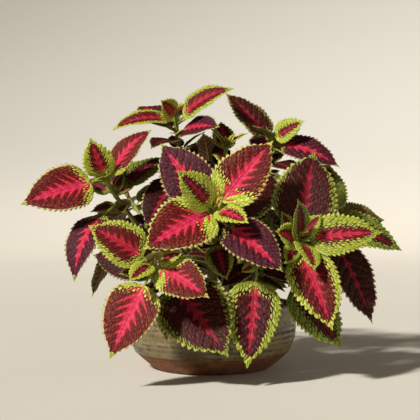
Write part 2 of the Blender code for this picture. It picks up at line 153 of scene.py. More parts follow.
LOOKS = {
    "bud": Look(0.15, 0.1, 1.5, 0.9, 0.2, 0.8),
    "sprout": Look(0.35, 0.2, 1.25, 1.0, 0.3, 0.85),
    "axil": Look(0.3, 0.1, 1.0, 0.9, 0.7, 0.45),
    "young": Look(0.4, 0.2, 1.3, 0.7, 0.5, 0.9),
    "rosy": Look(0.75, 0.7, 1.1, 0.7, 0.2, 1.0),
    "bright": Look(1.0, 1.0, 0.28, 0.55, 0.2, 0.9),
    "gold": Look(0.95, 1.0, 0.4, 0.9, 0.2, 1.0),
    "speckled": Look(0.7, 0.4, 0.8, 0.55, 0.35, 0.8),
    "striped": Look(0.55, 0.6, 1.25, 0.6, 0.4, 0.62),
    "dusky": Look(0.85, 0.8, 0.15, 0.4, 0.8, 0.6),
    "mottled": Look(0.6, 0.4, 0.85, 0.6, 0.85, 0.65),
    "ember": Look(0.5, 0.15, 0.6, 0.3, 0.9, 0.3),
    "dark": Look(0.4, 0.2, 0.12, 0.1, 1.0, 0.4),
    "green": Look(0.3, 0.1, 1.15, 0.5, 0.9, 0.25),
}
GROWN_LOOKS = ("young", "speckled", "dusky", "dark")
HANGING_LOOK = "speckled"

FRONT_SHOOTS = [
    Shoot("shoot_front", (2, -30), (2, -96, 160), (0.0, -0.75, 0.65), [
        Leaf(1.00, (-32, -120, 196), (0.0, -0.8, 0.3), 15, 0.72, 0.10),
        Leaf(1.00, (33, -128, 148), (0.2, -0.8, 0.5), 15, 0.66, 0.10),
        Leaf(0.98, (-62, -130, 124), (-0.1, -0.9, 0.5), 25, 0.78, 0.06),
        Leaf(0.98, (57, -85, 224), (-0.2, -0.9, 0.1), 20, 0.68, 0.12),
        Leaf(0.91, (-49, -60, 222), (0.1, -0.9, 0.0), 20, 0.68, 0.16),
        Leaf(0.90, (64, -130, 104), (0.1, -0.8, 0.6), 25, 0.68, 0.20),
        Leaf(0.82, (66, -32, 191), (0.2, -0.8, 0.3), 20, 0.62, 0.20),
        Leaf(0.66, (14, -95, 94), (-0.2, -0.8, 0.4), 25, 0.70, 0.20),
    ], "young rosy gold gold dusky dusky ember mottled"),
    Shoot("shoot_lower_left", (-28, -45), (-54, -120, 112), (-0.25, -0.85, 0.45), [
        Leaf(1.00, (-73, -152, 98), (0.1, -0.6, 0.7), 20, 0.60, 0.10),
        Leaf(1.00, (-46, -148, 126), (0.2, -0.8, 0.6), 20, 0.56, 0.10),
        Leaf(0.98, (-112, -120, 146), (-0.1, -0.9, 0.5), 35, 0.76, 0.16),
        Leaf(0.97, (-2, -150, 83), (0.1, -0.9, 0.4), 20, 0.74, 0.14),
        Leaf(0.92, (-91, -140, 28), (-0.2, -0.95, 0.3), 20, 0.72, 0.22),
        Leaf(0.84, (-112, -80, 117), (-0.3, -0.9, 0.1), 25, 0.60, 0.16),
        Leaf(0.52, (15, -138, 29), (-0.1, -0.95, 0.3), 20, 0.80, 0.16),
        Leaf(0.60, (-42, -100, 38), (-0.1, -0.9, 0.1), 20, 0.50, 0.30),
    ], "young young speckled gold bright dark ember green"),
    Shoot("shoot_right", (36, -28), (81, -78, 131), (0.3, -0.85, 0.45), [
        Leaf(1.00, (78, -108, 170), (0.6, -0.9, 0.1), 20, 0.56, 0.10),
        Leaf(1.00, (93, -118, 104), (0.5, -0.8, 0.4), 20, 0.60, 0.10),
        Leaf(0.97, (161, -78, 138), (0.0, -0.9, 0.5), 20, 0.64, 0.14),
        Leaf(0.98, (58, -103, 140), (0.8, -0.5, 0.2), 15, 0.84, 0.12),
        Leaf(0.92, (99, -35, 215), (0.1, -0.9, 0.4), 25, 0.78, 0.14),
        Leaf(0.94, (109, -120, 50), (0.1, -0.9, 0.2), 25, 0.62, 0.16),
        Leaf(0.60, (123, -70, 27), (0.1, -0.95, 0.1), 25, 0.62, 0.30),
    ], "green young striped rosy ember speckled green"),
    Shoot("shoot_left", (-40, -6), (-105, -22, 188), (-0.35, -0.55, 0.75), [
        Leaf(1.00, (-118, -40, 228), (-0.1, -0.9, 0.2), 15, 0.78, 0.08),
        Leaf(1.00, (-118, -62, 184), (-0.3, -0.5, 0.8), 20, 0.60, 0.12),
        Leaf(0.98, (-184, -50, 163), (0.1, -0.8, 0.5), 30, 0.74, 0.18),
        Leaf(0.94, (-59, -12, 237), (-0.6, -0.7, 0.4), 55, 0.62, 0.16),
        Leaf(0.84, (-112, 40, 218), (-0.3, -0.6, 0.6), 25, 0.50, 0.14),
        Leaf(0.84, (-48, 34, 211), (0.0, -0.4, 0.9), 25, 0.62, 0.20),
        Leaf(0.76, (-131, -62, 90), (-0.5, -0.7, 0.7), 80, 0.60, 0.30),
    ], "rosy young bright bright dark green dusky"),
    Shoot("shoot_top_left", (-16, 22), (-37, 10, 250), (-0.1, -0.1, 1.0), [
        Leaf(1.00, (-51, -10, 266), (0.0, -0.9, 0.4), 15, 0.95, 0.08),
        Leaf(1.00, (-24, 30, 266), (-0.2, -0.8, 0.4), 15, 0.70, 0.12),
        Leaf(0.97, (-100, -5, 236), (-0.1, -0.5, 0.9), 60, 0.60, 0.12),
        Leaf(0.95, (22, -8, 278), (-0.4, -0.6, 0.7), 55, 0.66, 0.18),
        Leaf(0.91, (-78, 60, 264), (0.0, -0.4, 0.9), 35, 0.66, 0.14),
        Leaf(0.91, (8, -45, 238), (0.0, -0.7, 0.5), 25, 0.56, 0.16),
        Leaf(0.84, (-60, -42, 232), (0.1, -0.1, 1.0), 45, 0.56, 0.14),
        Leaf(0.70, (-69, -45, 148), (-0.3, -0.9, 0.1), 20, 0.60, 0.20),
    ], "rosy young speckled speckled dusky dusky dark dark"),
    Shoot("shoot_top_right", (24, 26), (60, 10, 227), (0.1, -0.25, 1.0), [
        Leaf(1.00, (92, -8, 246), (-0.2, -0.9, 0.4), 15, 0.72, 0.12),
        Leaf(1.00, (40, -26, 240), (-0.1, -0.5, 0.8), 20, 0.52, 0.12),
        Leaf(0.97, (13, 36, 277), (0.6, -0.8, 0.6), 25, 0.64, 0.12),
        Leaf(0.97, (127, -12, 199), (0.1, -0.7, 0.7), 50, 0.58, 0.14),
        Leaf(0.88, (60, 80, 236), (0.0, -0.2, 1.0), 35, 0.66, 0.14),
        Leaf(0.84, (84, -42, 192), (0.0, -0.3, 0.9), 30, 0.60, 0.14),
    ], "young young ember dusky dusky dark"),
    Shoot("shoot_low_front", (24, -50), (42, -80, 108), (0.1, -0.8, 0.6), [
        Leaf(1.00, (31, -128, 17), (0.1, -0.95, 0.3), 20, 0.62, 0.18),
        Leaf(1.00, (8, -90, 88), (-0.1, -0.7, 0.7), 25, 0.66, 0.20),
        Leaf(0.92, (76, -88, 92), (0.1, -0.6, 0.8), 25, 0.60, 0.20),
    ], "mottled dark dark"),
    Shoot("shoot_low_right", (52, -2), (108, -22, 150), (0.8, -0.4, 0.5), [
        Leaf(1.00, (116, 8, 206), (0.4, -0.8, 0.4), 25, 0.86, 0.14),
        Leaf(1.00, (187, -25, 117), (0.2, -0.7, 0.7), 25, 0.62, 0.14),
        Leaf(0.98, (153, -60, 49), (0.3, -0.9, 0.4), 30, 0.52, 0.28),
    ], "green green dark"),
]


# Leaves that hang with their underside to the front
HANGING = {
    "shoot_left": [Leaf(0.5, (-117, -34, 72), (-0.5, 0.6, 0.6), 70, 0.5, 0.4)],
}


def vector(point):
    """A point of the plan, in metres."""
    return np.array(point, float) * MM


def unit(v):
    return v / np.linalg.norm(v)


def across_stem(axis):
    """A direction square to a stem's axis, from which the leaves round it are counted."""
    return unit(np.cross(axis, [0.3, 1.0, 0.1]))


def leaning(axis, heading, degrees):
    """The axis, tipped over towards a heading."""
    lean = math.radians(degrees)
    return heading * math.sin(lean) + axis * math.cos(lean)


def turned(v, axis, degrees):
    """v turned about a unit axis."""
    angle = math.radians(degrees)
    swing = np.cross(axis, v) * math.sin(angle)
    return v * math.cos(angle) + swing + axis * np.dot(axis, v) * (1 - math.cos(angle))


def stem_point(shoot, u):
    """A point on the stem: it leaves the soil upright, at 0, and ends along its axis, at 1."""
    root = np.array([*vector(shoot.root), SOIL_CROWN])
    tip = vector(shoot.tip)
    reach = np.linalg.norm(tip - root)
    start = np.array([0, 0, STEM_RISE]) * reach
    end = unit(np.array(shoot.axis)) * STEM_BEND * reach
    u = np.atleast_1d(u)[:, None]
    return (
        (2 * u**3 - 3 * u**2 + 1) * root
        + (u**3 - 2 * u**2 + u) * start
        + (3 * u**2 - 2 * u**3) * tip
        + (u**3 - u**2) * end
    )


class Blade:
    """One leaf in place: its frame, its sizes and the surface between its midrib and margins."""

    def __init__(self, shoot, leaf, turn, lift, look):
        axis = unit(np.array(shoot.axis))
        node = stem_point(shoot, leaf.at)[0]
        chord = turned(vector(leaf.tip) - node, axis, turn)
        level = unit(np.cross(chord, axis))
        chord = turned(chord, level, lift)
        face = turned(turned(np.array(leaf.face), axis, turn), level, lift)
        self.at = leaf.at
        self.look = look
        self.node = node
        self.chord = np.linalg.norm(chord)
        self.along = chord / self.chord
        self.up = unit(face - self.along * np.dot(face, self.along))
        self.side = np.cross(self.up, self.along)
        self.arch = math.radians(max(leaf.arch, 1))
        self.bend_radius = self.chord / (2 * math.sin(self.arch / 2))
        self.stalk = leaf.stalk
        self.length = self.bend_radius * self.arch * (1 - leaf.stalk)
        self.half_width = self.length * leaf.width / 2

    def outline(self, t):
        """The blade's half width at t, from 0 at its broad base to 1 at its drawn-out tip."""
        t = np.clip(t, 0, 1)
        return self.half_width * t**ROUND_BASE * (1 - t) ** DRAWN_TIP / WIDEST

    def points(self, q, offset, lift=0):
        """Points at q along the whole leaf, offset to the side and lifted off the surface."""
        angle = self.arch * (0.5 - q)
        x = self.bend_radius * (math.sin(self.arch / 2) - np.sin(angle))
        z = self.bend_radius * (np.cos(angle) - math.cos(self.arch / 2))
        width = np.maximum(self.outline((q - self.stalk) / (1 - self.stalk)), 1e-9)
        across = np.abs(offset)
        rise = across * math.sin(FOLD) - CURL * across**2 / np.maximum(width, across + 1e-9)
        rise = np.where(q <= self.stalk, 0, rise) + lift
        x = x - np.sin(angle) * rise
        z = z + np.cos(angle) * rise
        return (
            self.node
            + x[:, None] * self.along
            + (offset * math.cos(FOLD))[:, None] * self.side
            + z[:, None] * self.up
        )

    def samples(self, rows, columns, start, lift=0.0):
        """A plain grid over the leaf, for measuring what it touches."""
        q = np.repeat(np.linspace(start, LEAF_END, rows), columns)
        t = (q - self.stalk) / (1 - self.stalk)
        half = np.maximum(self.outline(t) * (1 + TOOTH_DEPTH), STALK_HALF_WIDTH)
        return self.points(q, np.tile(np.linspace(-1, 1, columns), rows) * half, lift)

    def slab(self, start):
        """The leaf as two sheets a little further apart than its faces, as a tree to search."""
        lifts = (-CLEAR_HALF, CLEAR_HALF)
        sheets = [self.samples(SLAB_ROWS, SLAB_COLUMNS, start, lift) for lift in lifts]
        quads = []
        for first in (0, SLAB_ROWS * SLAB_COLUMNS):
            for row in range(SLAB_ROWS - 1):
                for column in range(SLAB_COLUMNS - 1):
                    corner = first + row * SLAB_COLUMNS + column
                    beyond = corner + SLAB_COLUMNS
                    quads.append((corner, corner + 1, beyond + 1, beyond))
        return BVHTree.FromPolygons(np.vstack(sheets).tolist(), quads)


# The outline's own greatest value, by which it is scaled to the half width
WIDEST_AT = ROUND_BASE / (ROUND_BASE + DRAWN_TIP)
WIDEST = WIDEST_AT**ROUND_BASE * (1 - WIDEST_AT) ** DRAWN_TIP


def bowl_radius_at(z):
    """The bowl's outer radius at a height, as straight runs between its driving sizes."""
    heights = [0, FOOT_HEIGHT, 0.5 * BOWL_HEIGHT]
    return np.interp(z, heights, [BASE_RADIUS, FOOT_RADIUS, BOWL_RADIUS])


def touches_bowl(points):
    """Whether any point is in the bowl's wall, in the soil or under the table's clearance."""
    r = np.hypot(points[:, 0], points[:, 1])
    z = points[:, 2]
    in_bowl = (r < bowl_radius_at(z) + BOWL_CLEAR) & (z < BOWL_HEIGHT + BOWL_CLEAR)
    over_soil = (r < SOIL_RADIUS - BOWL_CLEAR) & (z > SOIL_CROWN + BOWL_CLEAR)
    return bool(((in_bowl & ~over_soil) | (z < TABLE_CLEAR)).any())


def touches_stem(points, line):
    """Whether any point is near a stem's centre line."""
    gaps = np.linalg.norm(points[:, None] - line[None], axis=2)
    return bool((gaps < STEM_CLEAR).any())


def turns():
    """Small turns about the stem and lifts from it, the smallest first."""
    reach = range(-MOST_TURNS, MOST_TURNS + 1)
    pairs = [(a, b) for a in reach for b in reach]
    pairs.sort(key=lambda p: (p[0] ** 2 + p[1] ** 2, p))
    return [(a * TURN_STEP, b * TURN_STEP) for a, b in pairs]


def settled(shoots):
    """Each shoot's blades, every leaf turned by the least that clears those placed before it.

    A leaf that finds no room is left out. The small leaves, which aren't turned, come last.
    """
    lines = {s.name: stem_point(s, np.linspace(0, 1, STEM_PROBES)) for s in shoots}
    placed = []
    blades = {s.name: [] for s in shoots}

    def finds_room(blade, name):
        """Puts a blade in place if it is clear, and says whether it is."""
        clear = is_clear(blade, name, placed, lines)
        if clear:
            placed.append((name, blade.slab(0), blade.slab(blade.stalk + LEAF_FOOT)))
            blades[name].append(blade)
        return clear

    for shoot in shoots:
        for leaf, look in zip(shoot.leaves, shoot.looks.split()):
            for turn, lift in turns():
                if finds_room(Blade(shoot, leaf, turn, lift, LOOKS[look]), shoot.name):
                    break
    for number, shoot in enumerate(shoots):
        hanging = HANGING.get(shoot.name, [])
        hanging = [Blade(shoot, leaf, 0, 0, LOOKS[HANGING_LOOK]) for leaf in hanging]
        inner = [] if shoot.name in BARE_STEMS else inner_blades(shoot, number)
        for blade in [*hanging, *inner, *axil_blades(shoot, blades[shoot.name])]:
            finds_room(blade, shoot.name)
    return blades


def inner_blades(shoot, number):
    """Dark leaves to try at a stem's lower nodes, where they stand in the shade of the plant."""
    rng = np.random.default_rng(number)
    inner = []
    for pair, at in enumerate(INNER_NODES):
        node, beyond = stem_point(shoot, [at, at + 0.02])
        if math.hypot(node[0], node[1]) > INNER_REACH:
            break
        axis = unit(beyond - node)
        level = across_stem(axis)
        for place, look in enumerate(INNER_LOOKS):
            round_stem = INNER_TURN * pair + 360 / len(INNER_LOOKS) * place
            heading = turned(level, axis, round_stem + rng.uniform(-INNER_SCATTER, INNER_SCATTER))
            way = unit(heading + axis * rng.uniform(*INNER_RISE))
            tip = node / MM + way * rng.uniform(*INNER_LENGTHS)
            face = axis + [0, 0, 1.0] + heading * 0.3
            leaf = Leaf(at, tip, face, INNER_ARCH, SMALL_WIDTH, SMALL_STALK)
            inner.append(Blade(shoot, leaf, 0, 0, LOOKS[look]))
    return inner


def axil_blades(shoot, blades):
    """Two tiny leaves to try in the axil of each grown leaf."""
    axis = unit(np.array(shoot.axis))
    rng = np.random.default_rng(len(blades))
    tiny = []
    for blade in blades:
        if blade.chord < SMALL_LEAF:
            continue
        look = LOOKS["sprout" if blade.at > SPROUTS_ABOVE else "axil"]
        for side in (-1, 1):
            way = unit(blade.along + axis * AXIL_RISE + blade.side * side * AXIL_SPREAD)
            tip = blade.node / MM + way * rng.uniform(*AXIL_LENGTHS)
            face = unit(axis + blade.up * 0.5)
            leaf = Leaf(blade.at, tip, face, AXIL_ARCH, SMALL_WIDTH, SMALL_STALK)
            tiny.append(Blade(shoot, leaf, 0, 0, look))
    return tiny


def bud_blades(shoot):
    """The folded tiny leaves at a stem's tip, two pairs a quarter turn apart."""
    axis = unit(np.array(shoot.axis))
    blades = []
    for pair, length in enumerate(BUD_LENGTHS):
        for half in (0, 180):
            heading = turned(across_stem(axis), axis, BUD_TURN + 90 * pair + half)
            way = leaning(axis, heading, BUD_LEAN + BUD_LEAN_STEP * pair)
            tip = np.array(shoot.tip) + way * length
            leaf = Leaf(1.0, tip, axis, BUD_ARCH, BUD_WIDTH, BUD_STALK)
            blades.append(Blade(shoot, leaf, 0, 0, LOOKS["bud"]))
    return blades


def is_clear(blade, name, placed, lines):
    """Whether a blade is clear of the bowl, every stem and every leaf placed so far."""
    outer = blade.samples(PROBE_ROWS, PROBE_COLUMNS, blade.stalk + LEAF_FOOT)
    whole = blade.samples(PROBE_ROWS, PROBE_COLUMNS, STALK_FOOT)
    if touches_bowl(whole):
        return False
    for other, line in lines.items():
        if touches_stem(outer if other == name else whole, line):
            return False
    slab = blade.slab(0)
    beyond_foot = blade.slab(blade.stalk + LEAF_FOOT)
    for other, other_slab, other_beyond_foot in placed:
        if other == name:
            if beyond_foot.overlap(other_beyond_foot):
                return False
        elif slab.overlap(other_slab):
            return False
    return True


def grown(name, root, tip, axis, first, lengths, seed):
    """A shoot whose leaves follow the rule of growth, from the youngest pair down."""
    rng = np.random.default_rng(seed)
    shoot = Shoot(name, root, tip, axis, [], "")
    axis = unit(np.array(axis))
    level = across_stem(axis)
    looks = []
    for pair, length in enumerate(lengths):
        at = 1 - PAIR_STEP * pair - PAIR_SPREAD * pair**SPREAD_POWER
        node = stem_point(shoot, at)[0]
        for half in (0, 180):
            scatter = rng.uniform(-1, 1, 3)
            heading = turned(level, axis, first + 90 * pair + half + scatter[0] * HEADING_SCATTER)
            lean = TOP_LEAN + LEAN_STEP * pair + scatter[1] * LEAN_SCATTER
            way = unit(leaning(axis, heading, lean) - [0, 0, DROOP * pair])
            tip_point = node / MM + way * length * rng.uniform(*SIZE_SCATTER)
            face = turned(axis, way, scatter[2] * FACE_SCATTER)
            arch = TOP_ARCH + ARCH_STEP * pair
            shoot.leaves.append(Leaf(at, tip_point, face, arch, rng.uniform(*WIDTH_SCATTER)))
            looks.append(GROWN_LOOKS[pair])
    return shoot._replace(looks=" ".join(looks))


def all_shoots():
    """The shoots placed from the photograph, then those that the rule grows behind them."""
    behind = [
        grown("shoot_crown", (2, 4), (14, -2, 220), (0.1, -0.5, 0.85), 20, (26, 44, 56), 3),
        grown("shoot_right_back", (60, 26), (132, 46, 150), (0.75, 0.3, 0.65), 30, (30, 58, 76), 5),
        grown("shoot_back_right", (34, 50), (70, 112, 168), (0.45, 0.65, 0.6), 65, (28, 60, 78, 74), 8),
        grown("shoot_back", (-2, 54), (0, 128, 200), (0.0, 0.6, 0.8), 15, (28, 60, 80, 76), 11),
        grown("shoot_back_left", (-42, 40), (-92, 92, 172), (-0.5, 0.5, 0.7), 40, (28, 60, 78, 74), 14),
        grown("shoot_low_back", (12, 66), (20, 118, 96), (0.1, 0.9, 0.4), 45, (26, 54, 70), 17),
    ]
    return FRONT_SHOOTS + behind


# Node trees, written as expressions


def operator(operation, reflected=False):
    """A method of Term that adds the Math node of a Python operator."""
    def apply(self, value):
        terms = (value, self) if reflected else (self, value)
        return self.board.maths(operation, *terms)
    return apply


class Term:
    """A socket of a node tree in an expression: each operator adds the node that works it out."""

    def __init__(self, board, socket):
        self.board = board
        self.socket = socket

    def other(self, output):
        """Another output of the same node."""
        return Term(self.board, self.socket.node.outputs[output])

    def __abs__(self):
        return self.board.maths("ABSOLUTE", self)

    __add__ = __radd__ = operator("ADD")
    __mul__ = __rmul__ = operator("MULTIPLY")
    __sub__ = operator("SUBTRACT")
    __rsub__ = operator("SUBTRACT", reflected=True)
    __truediv__ = operator("DIVIDE")
    __rtruediv__ = operator("DIVIDE", reflected=True)
    __pow__ = operator("POWER")
    __mod__ = operator("FLOORED_MODULO")
    __gt__ = operator("GREATER_THAN")
    __lt__ = operator("LESS_THAN")


class Board:
    """A node tree that is being built."""

    def __init__(self, tree):
        self.tree = tree

    def node(self, kind, values=(), output=0, **settings):
        """Any node: its settings, then the values or links of its sockets, by name or number."""
        made = self.tree.nodes.new(kind)
        for name, setting in settings.items():
            setattr(made, name, setting)
        for key, value in dict(values).items():
            self.put(made.inputs[key], value)
        return Term(self, made.outputs[output] if made.outputs else None)

    def put(self, socket, value):
        """A value or a link for a socket. A colour has no alpha of its own."""
        if isinstance(value, Term):
            self.tree.links.new(value.socket, socket)
        elif socket.type == "RGBA":
            socket.default_value = (*value, 1)
        else:
            socket.default_value = value

    def maths(self, operation, *terms):
        """A Math node, or a Vector Math node where a term is a vector."""
        vectors = [t for t in terms if isinstance(t, tuple) or is_vector(t)]
        kind = "ShaderNodeVectorMath" if vectors else "ShaderNodeMath"
        return self.node(kind, enumerate(terms), operation=operation)

    def sin(self, term):
        return self.maths("SINE", term)

    def cos(self, term):
        return self.maths("COSINE", term)

    def hump(self, term):
        """0 where the term is whole, 1 halfway between."""
        return self.sin(term % 1.0 * math.pi)

    def root(self, term):
        return self.maths("SQRT", self.most(term, 0.0))

    def most(self, *terms):
        return self.maths("MAXIMUM", *terms)

    def ramp(self, term, low, high, bottom=0.0, top=1.0):
        """A smooth step of the term from low to high, from bottom to top."""
        values = {"Value": term, "From Min": low, "From Max": high, "To Min": bottom, "To Max": top}
        return self.node("ShaderNodeMapRange", values, interpolation_type="SMOOTHSTEP")

    def blend(self, share, one, two):
        """Colours blended by a share, 0 for the first."""
        return self.node("ShaderNodeMix", {0: share, 6: one, 7: two}, 2, data_type="RGBA")

    def coated(self, colour, *coats):
        """A colour with others laid over it in turn, each given as (share, colour)."""
        for share, coat in coats:
            colour = self.blend(share, colour, coat)
        return colour

    def between(self, share, one, two):
        """Numbers blended by a share, 0 for the first."""
        return one + share * (two - one)

    def joined(self, x, y, z):
        return self.node("ShaderNodeCombineXYZ", {0: x, 1: y, 2: z})

    def parts(self, term):
        first = self.node("ShaderNodeSeparateXYZ", {0: term})
        return first, first.other(1), first.other(2)

    def noise(self, place, scale, detail=2.0, roughness=0.5):
        values = {"Vector": place, "Scale": scale, "Detail": detail, "Roughness": roughness}
        return self.node("ShaderNodeTexNoise", values, "Fac")


def is_vector(term):
    return isinstance(term, Term) and term.socket.type in ("VECTOR", "RGBA")


SOCKETS = {
    float: "NodeSocketFloat", int: "NodeSocketInt", bpy.types.Material: "NodeSocketMaterial",
}


def shaping_board(name, inputs):
    """A geometry tree with named inputs, its board, and each input as a term.

    inputs maps a name to its default, or to the type of an input that has none.
    """
    tree = bpy.data.node_groups.new(name, "GeometryNodeTree")
    tree.interface.new_socket("Geometry", in_out="INPUT", socket_type="NodeSocketGeometry")
    tree.interface.new_socket("Geometry", in_out="OUTPUT", socket_type="NodeSocketGeometry")
    for label, default in inputs.items():
        kind = default if isinstance(default, type) else type(default)
        socket = tree.interface.new_socket(label, in_out="INPUT", socket_type=SOCKETS[kind])
        if kind is not default:
            socket.default_value = default
    board = Board(tree)
    first = board.node("NodeGroupInput")
    return board, {s.name: Term(board, s) for s in first.socket.node.outputs if s.name}


def finish_shape(board, geometry, material):
    """Ends a geometry tree: real geometry, shaded smooth, in its material."""
    real = board.node("GeometryNodeRealizeInstances", {0: geometry})
    smooth = board.node("GeometryNodeSetShadeSmooth", {0: real})
    coated = board.node("GeometryNodeSetMaterial", {"Geometry": smooth, "Material": material})
    board.node("NodeGroupOutput", {0: coated})
    return board.tree


def shaped(name, mesh, tree, **settings):
    """The plain mesh object that a geometry tree makes from a mesh, with the tree's inputs set."""
    source = bpy.data.objects.new(name, mesh)
    bpy.context.scene.collection.objects.link(source)
    modifier = source.modifiers.new(name, "NODES")
    modifier.node_group = tree
    for item in tree.interface.items_tree:
        label = item.name.lower().replace(" ", "_")
        if item.in_out == "INPUT" and label in settings:
            modifier[item.identifier] = settings[label]
    graph = bpy.context.evaluated_depsgraph_get()
    plain = bpy.data.meshes.new_from_object(source.evaluated_get(graph))
    bpy.data.objects.remove(source, do_unlink=True)
    plain.name = name
    made = bpy.data.objects.new(name, plain)
    bpy.context.scene.collection.objects.link(made)
    return made


def attribute(board, name, kind="FLOAT"):
    """A named attribute of the geometry, in a geometry tree."""
    return board.node("GeometryNodeInputNamedAttribute", {"Name": name}, data_type=kind)


def stored(board, geometry, name, value, kind="FLOAT", domain="POINT"):
    values = {"Geometry": geometry, "Name": name, "Value": value}
    return board.node("GeometryNodeStoreNamedAttribute", values, data_type=kind, domain=domain)


# Leaves

# A leaf up to each length has so many teeth and side veins on each half, and a mesh of so many
# rows for each tooth and columns on its upper and under side.
Grid = namedtuple("Grid", "up_to teeth veins rows_a_tooth upper_columns under_columns")
GRIDS = (
    Grid(20 * MM, 6, 4.0, 3, 8, 4),
    Grid(SMALL_LEAF, 10, 6.0, 3, 14, 6),
    Grid(1.0, 16, 8.0, 5, 26, 8),
)
VEIN_SWEEP = 0.75
VEIN_CURVE = 0.9
BLISTER_ROWS = 1.9
BLISTER_PITCH = 0.038
BLISTER_SLOPE = 0.34
TIP_DRAWN_FROM = 0.7
TIP_DRAWN_IN = 0.72
BASE_EASED_TO = 0.05
TIP_EASED_FROM = 0.93
RELIEF_LENGTH = 80 * MM
CREASE_RADIUS = 0.4 * MM
RIPPLE_PACE = 17.0
RIPPLE_SKEW = 1.5


def veining(board, along, reach, across, seed, veins):
    """The run of the side veins, the swelling between them, and the blisters in rows on it.

    The run is whole on each vein. The veins leave the midrib, sweep to the tip and waver, not quite
    alike on the two halves. reach is the distance from the midrib as a share of the blade's length.
    The swelling and the blisters are 1 on their tops and 0 in their valleys.
    """
    drift = board.noise(board.joined(across * 0.6, along * 3.0, seed * 40.0), 1.0)
    phase = (along - reach * VEIN_SWEEP - reach * reach * VEIN_CURVE) * veins
    phase = phase + across * 0.06 + (drift - 0.5) * 0.5
    place = board.joined(
        phase * BLISTER_ROWS + seed * 37.0, reach / BLISTER_PITCH + (across > 0.0) * 5.0, 0.0
    )
    depth = board.node("ShaderNodeTexVoronoi", {"Vector": place, "Scale": 1.0, "Randomness": 0.8},
                       "Distance", voronoi_dimensions="2D", feature="DISTANCE_TO_EDGE")
    return phase, board.hump(phase), board.ramp(depth, 0.0, BLISTER_SLOPE)


def half_outline(board, along):
    """The blade's half width as a share of its greatest, with the tip drawn in to a fine point."""
    plain = board.most(along, 0.0) ** ROUND_BASE * board.most(1.0 - along, 0.0) ** DRAWN_TIP / WIDEST
    return plain * board.ramp(along, TIP_DRAWN_FROM, 1.0, 1.0, 1.0 - TIP_DRAWN_IN)


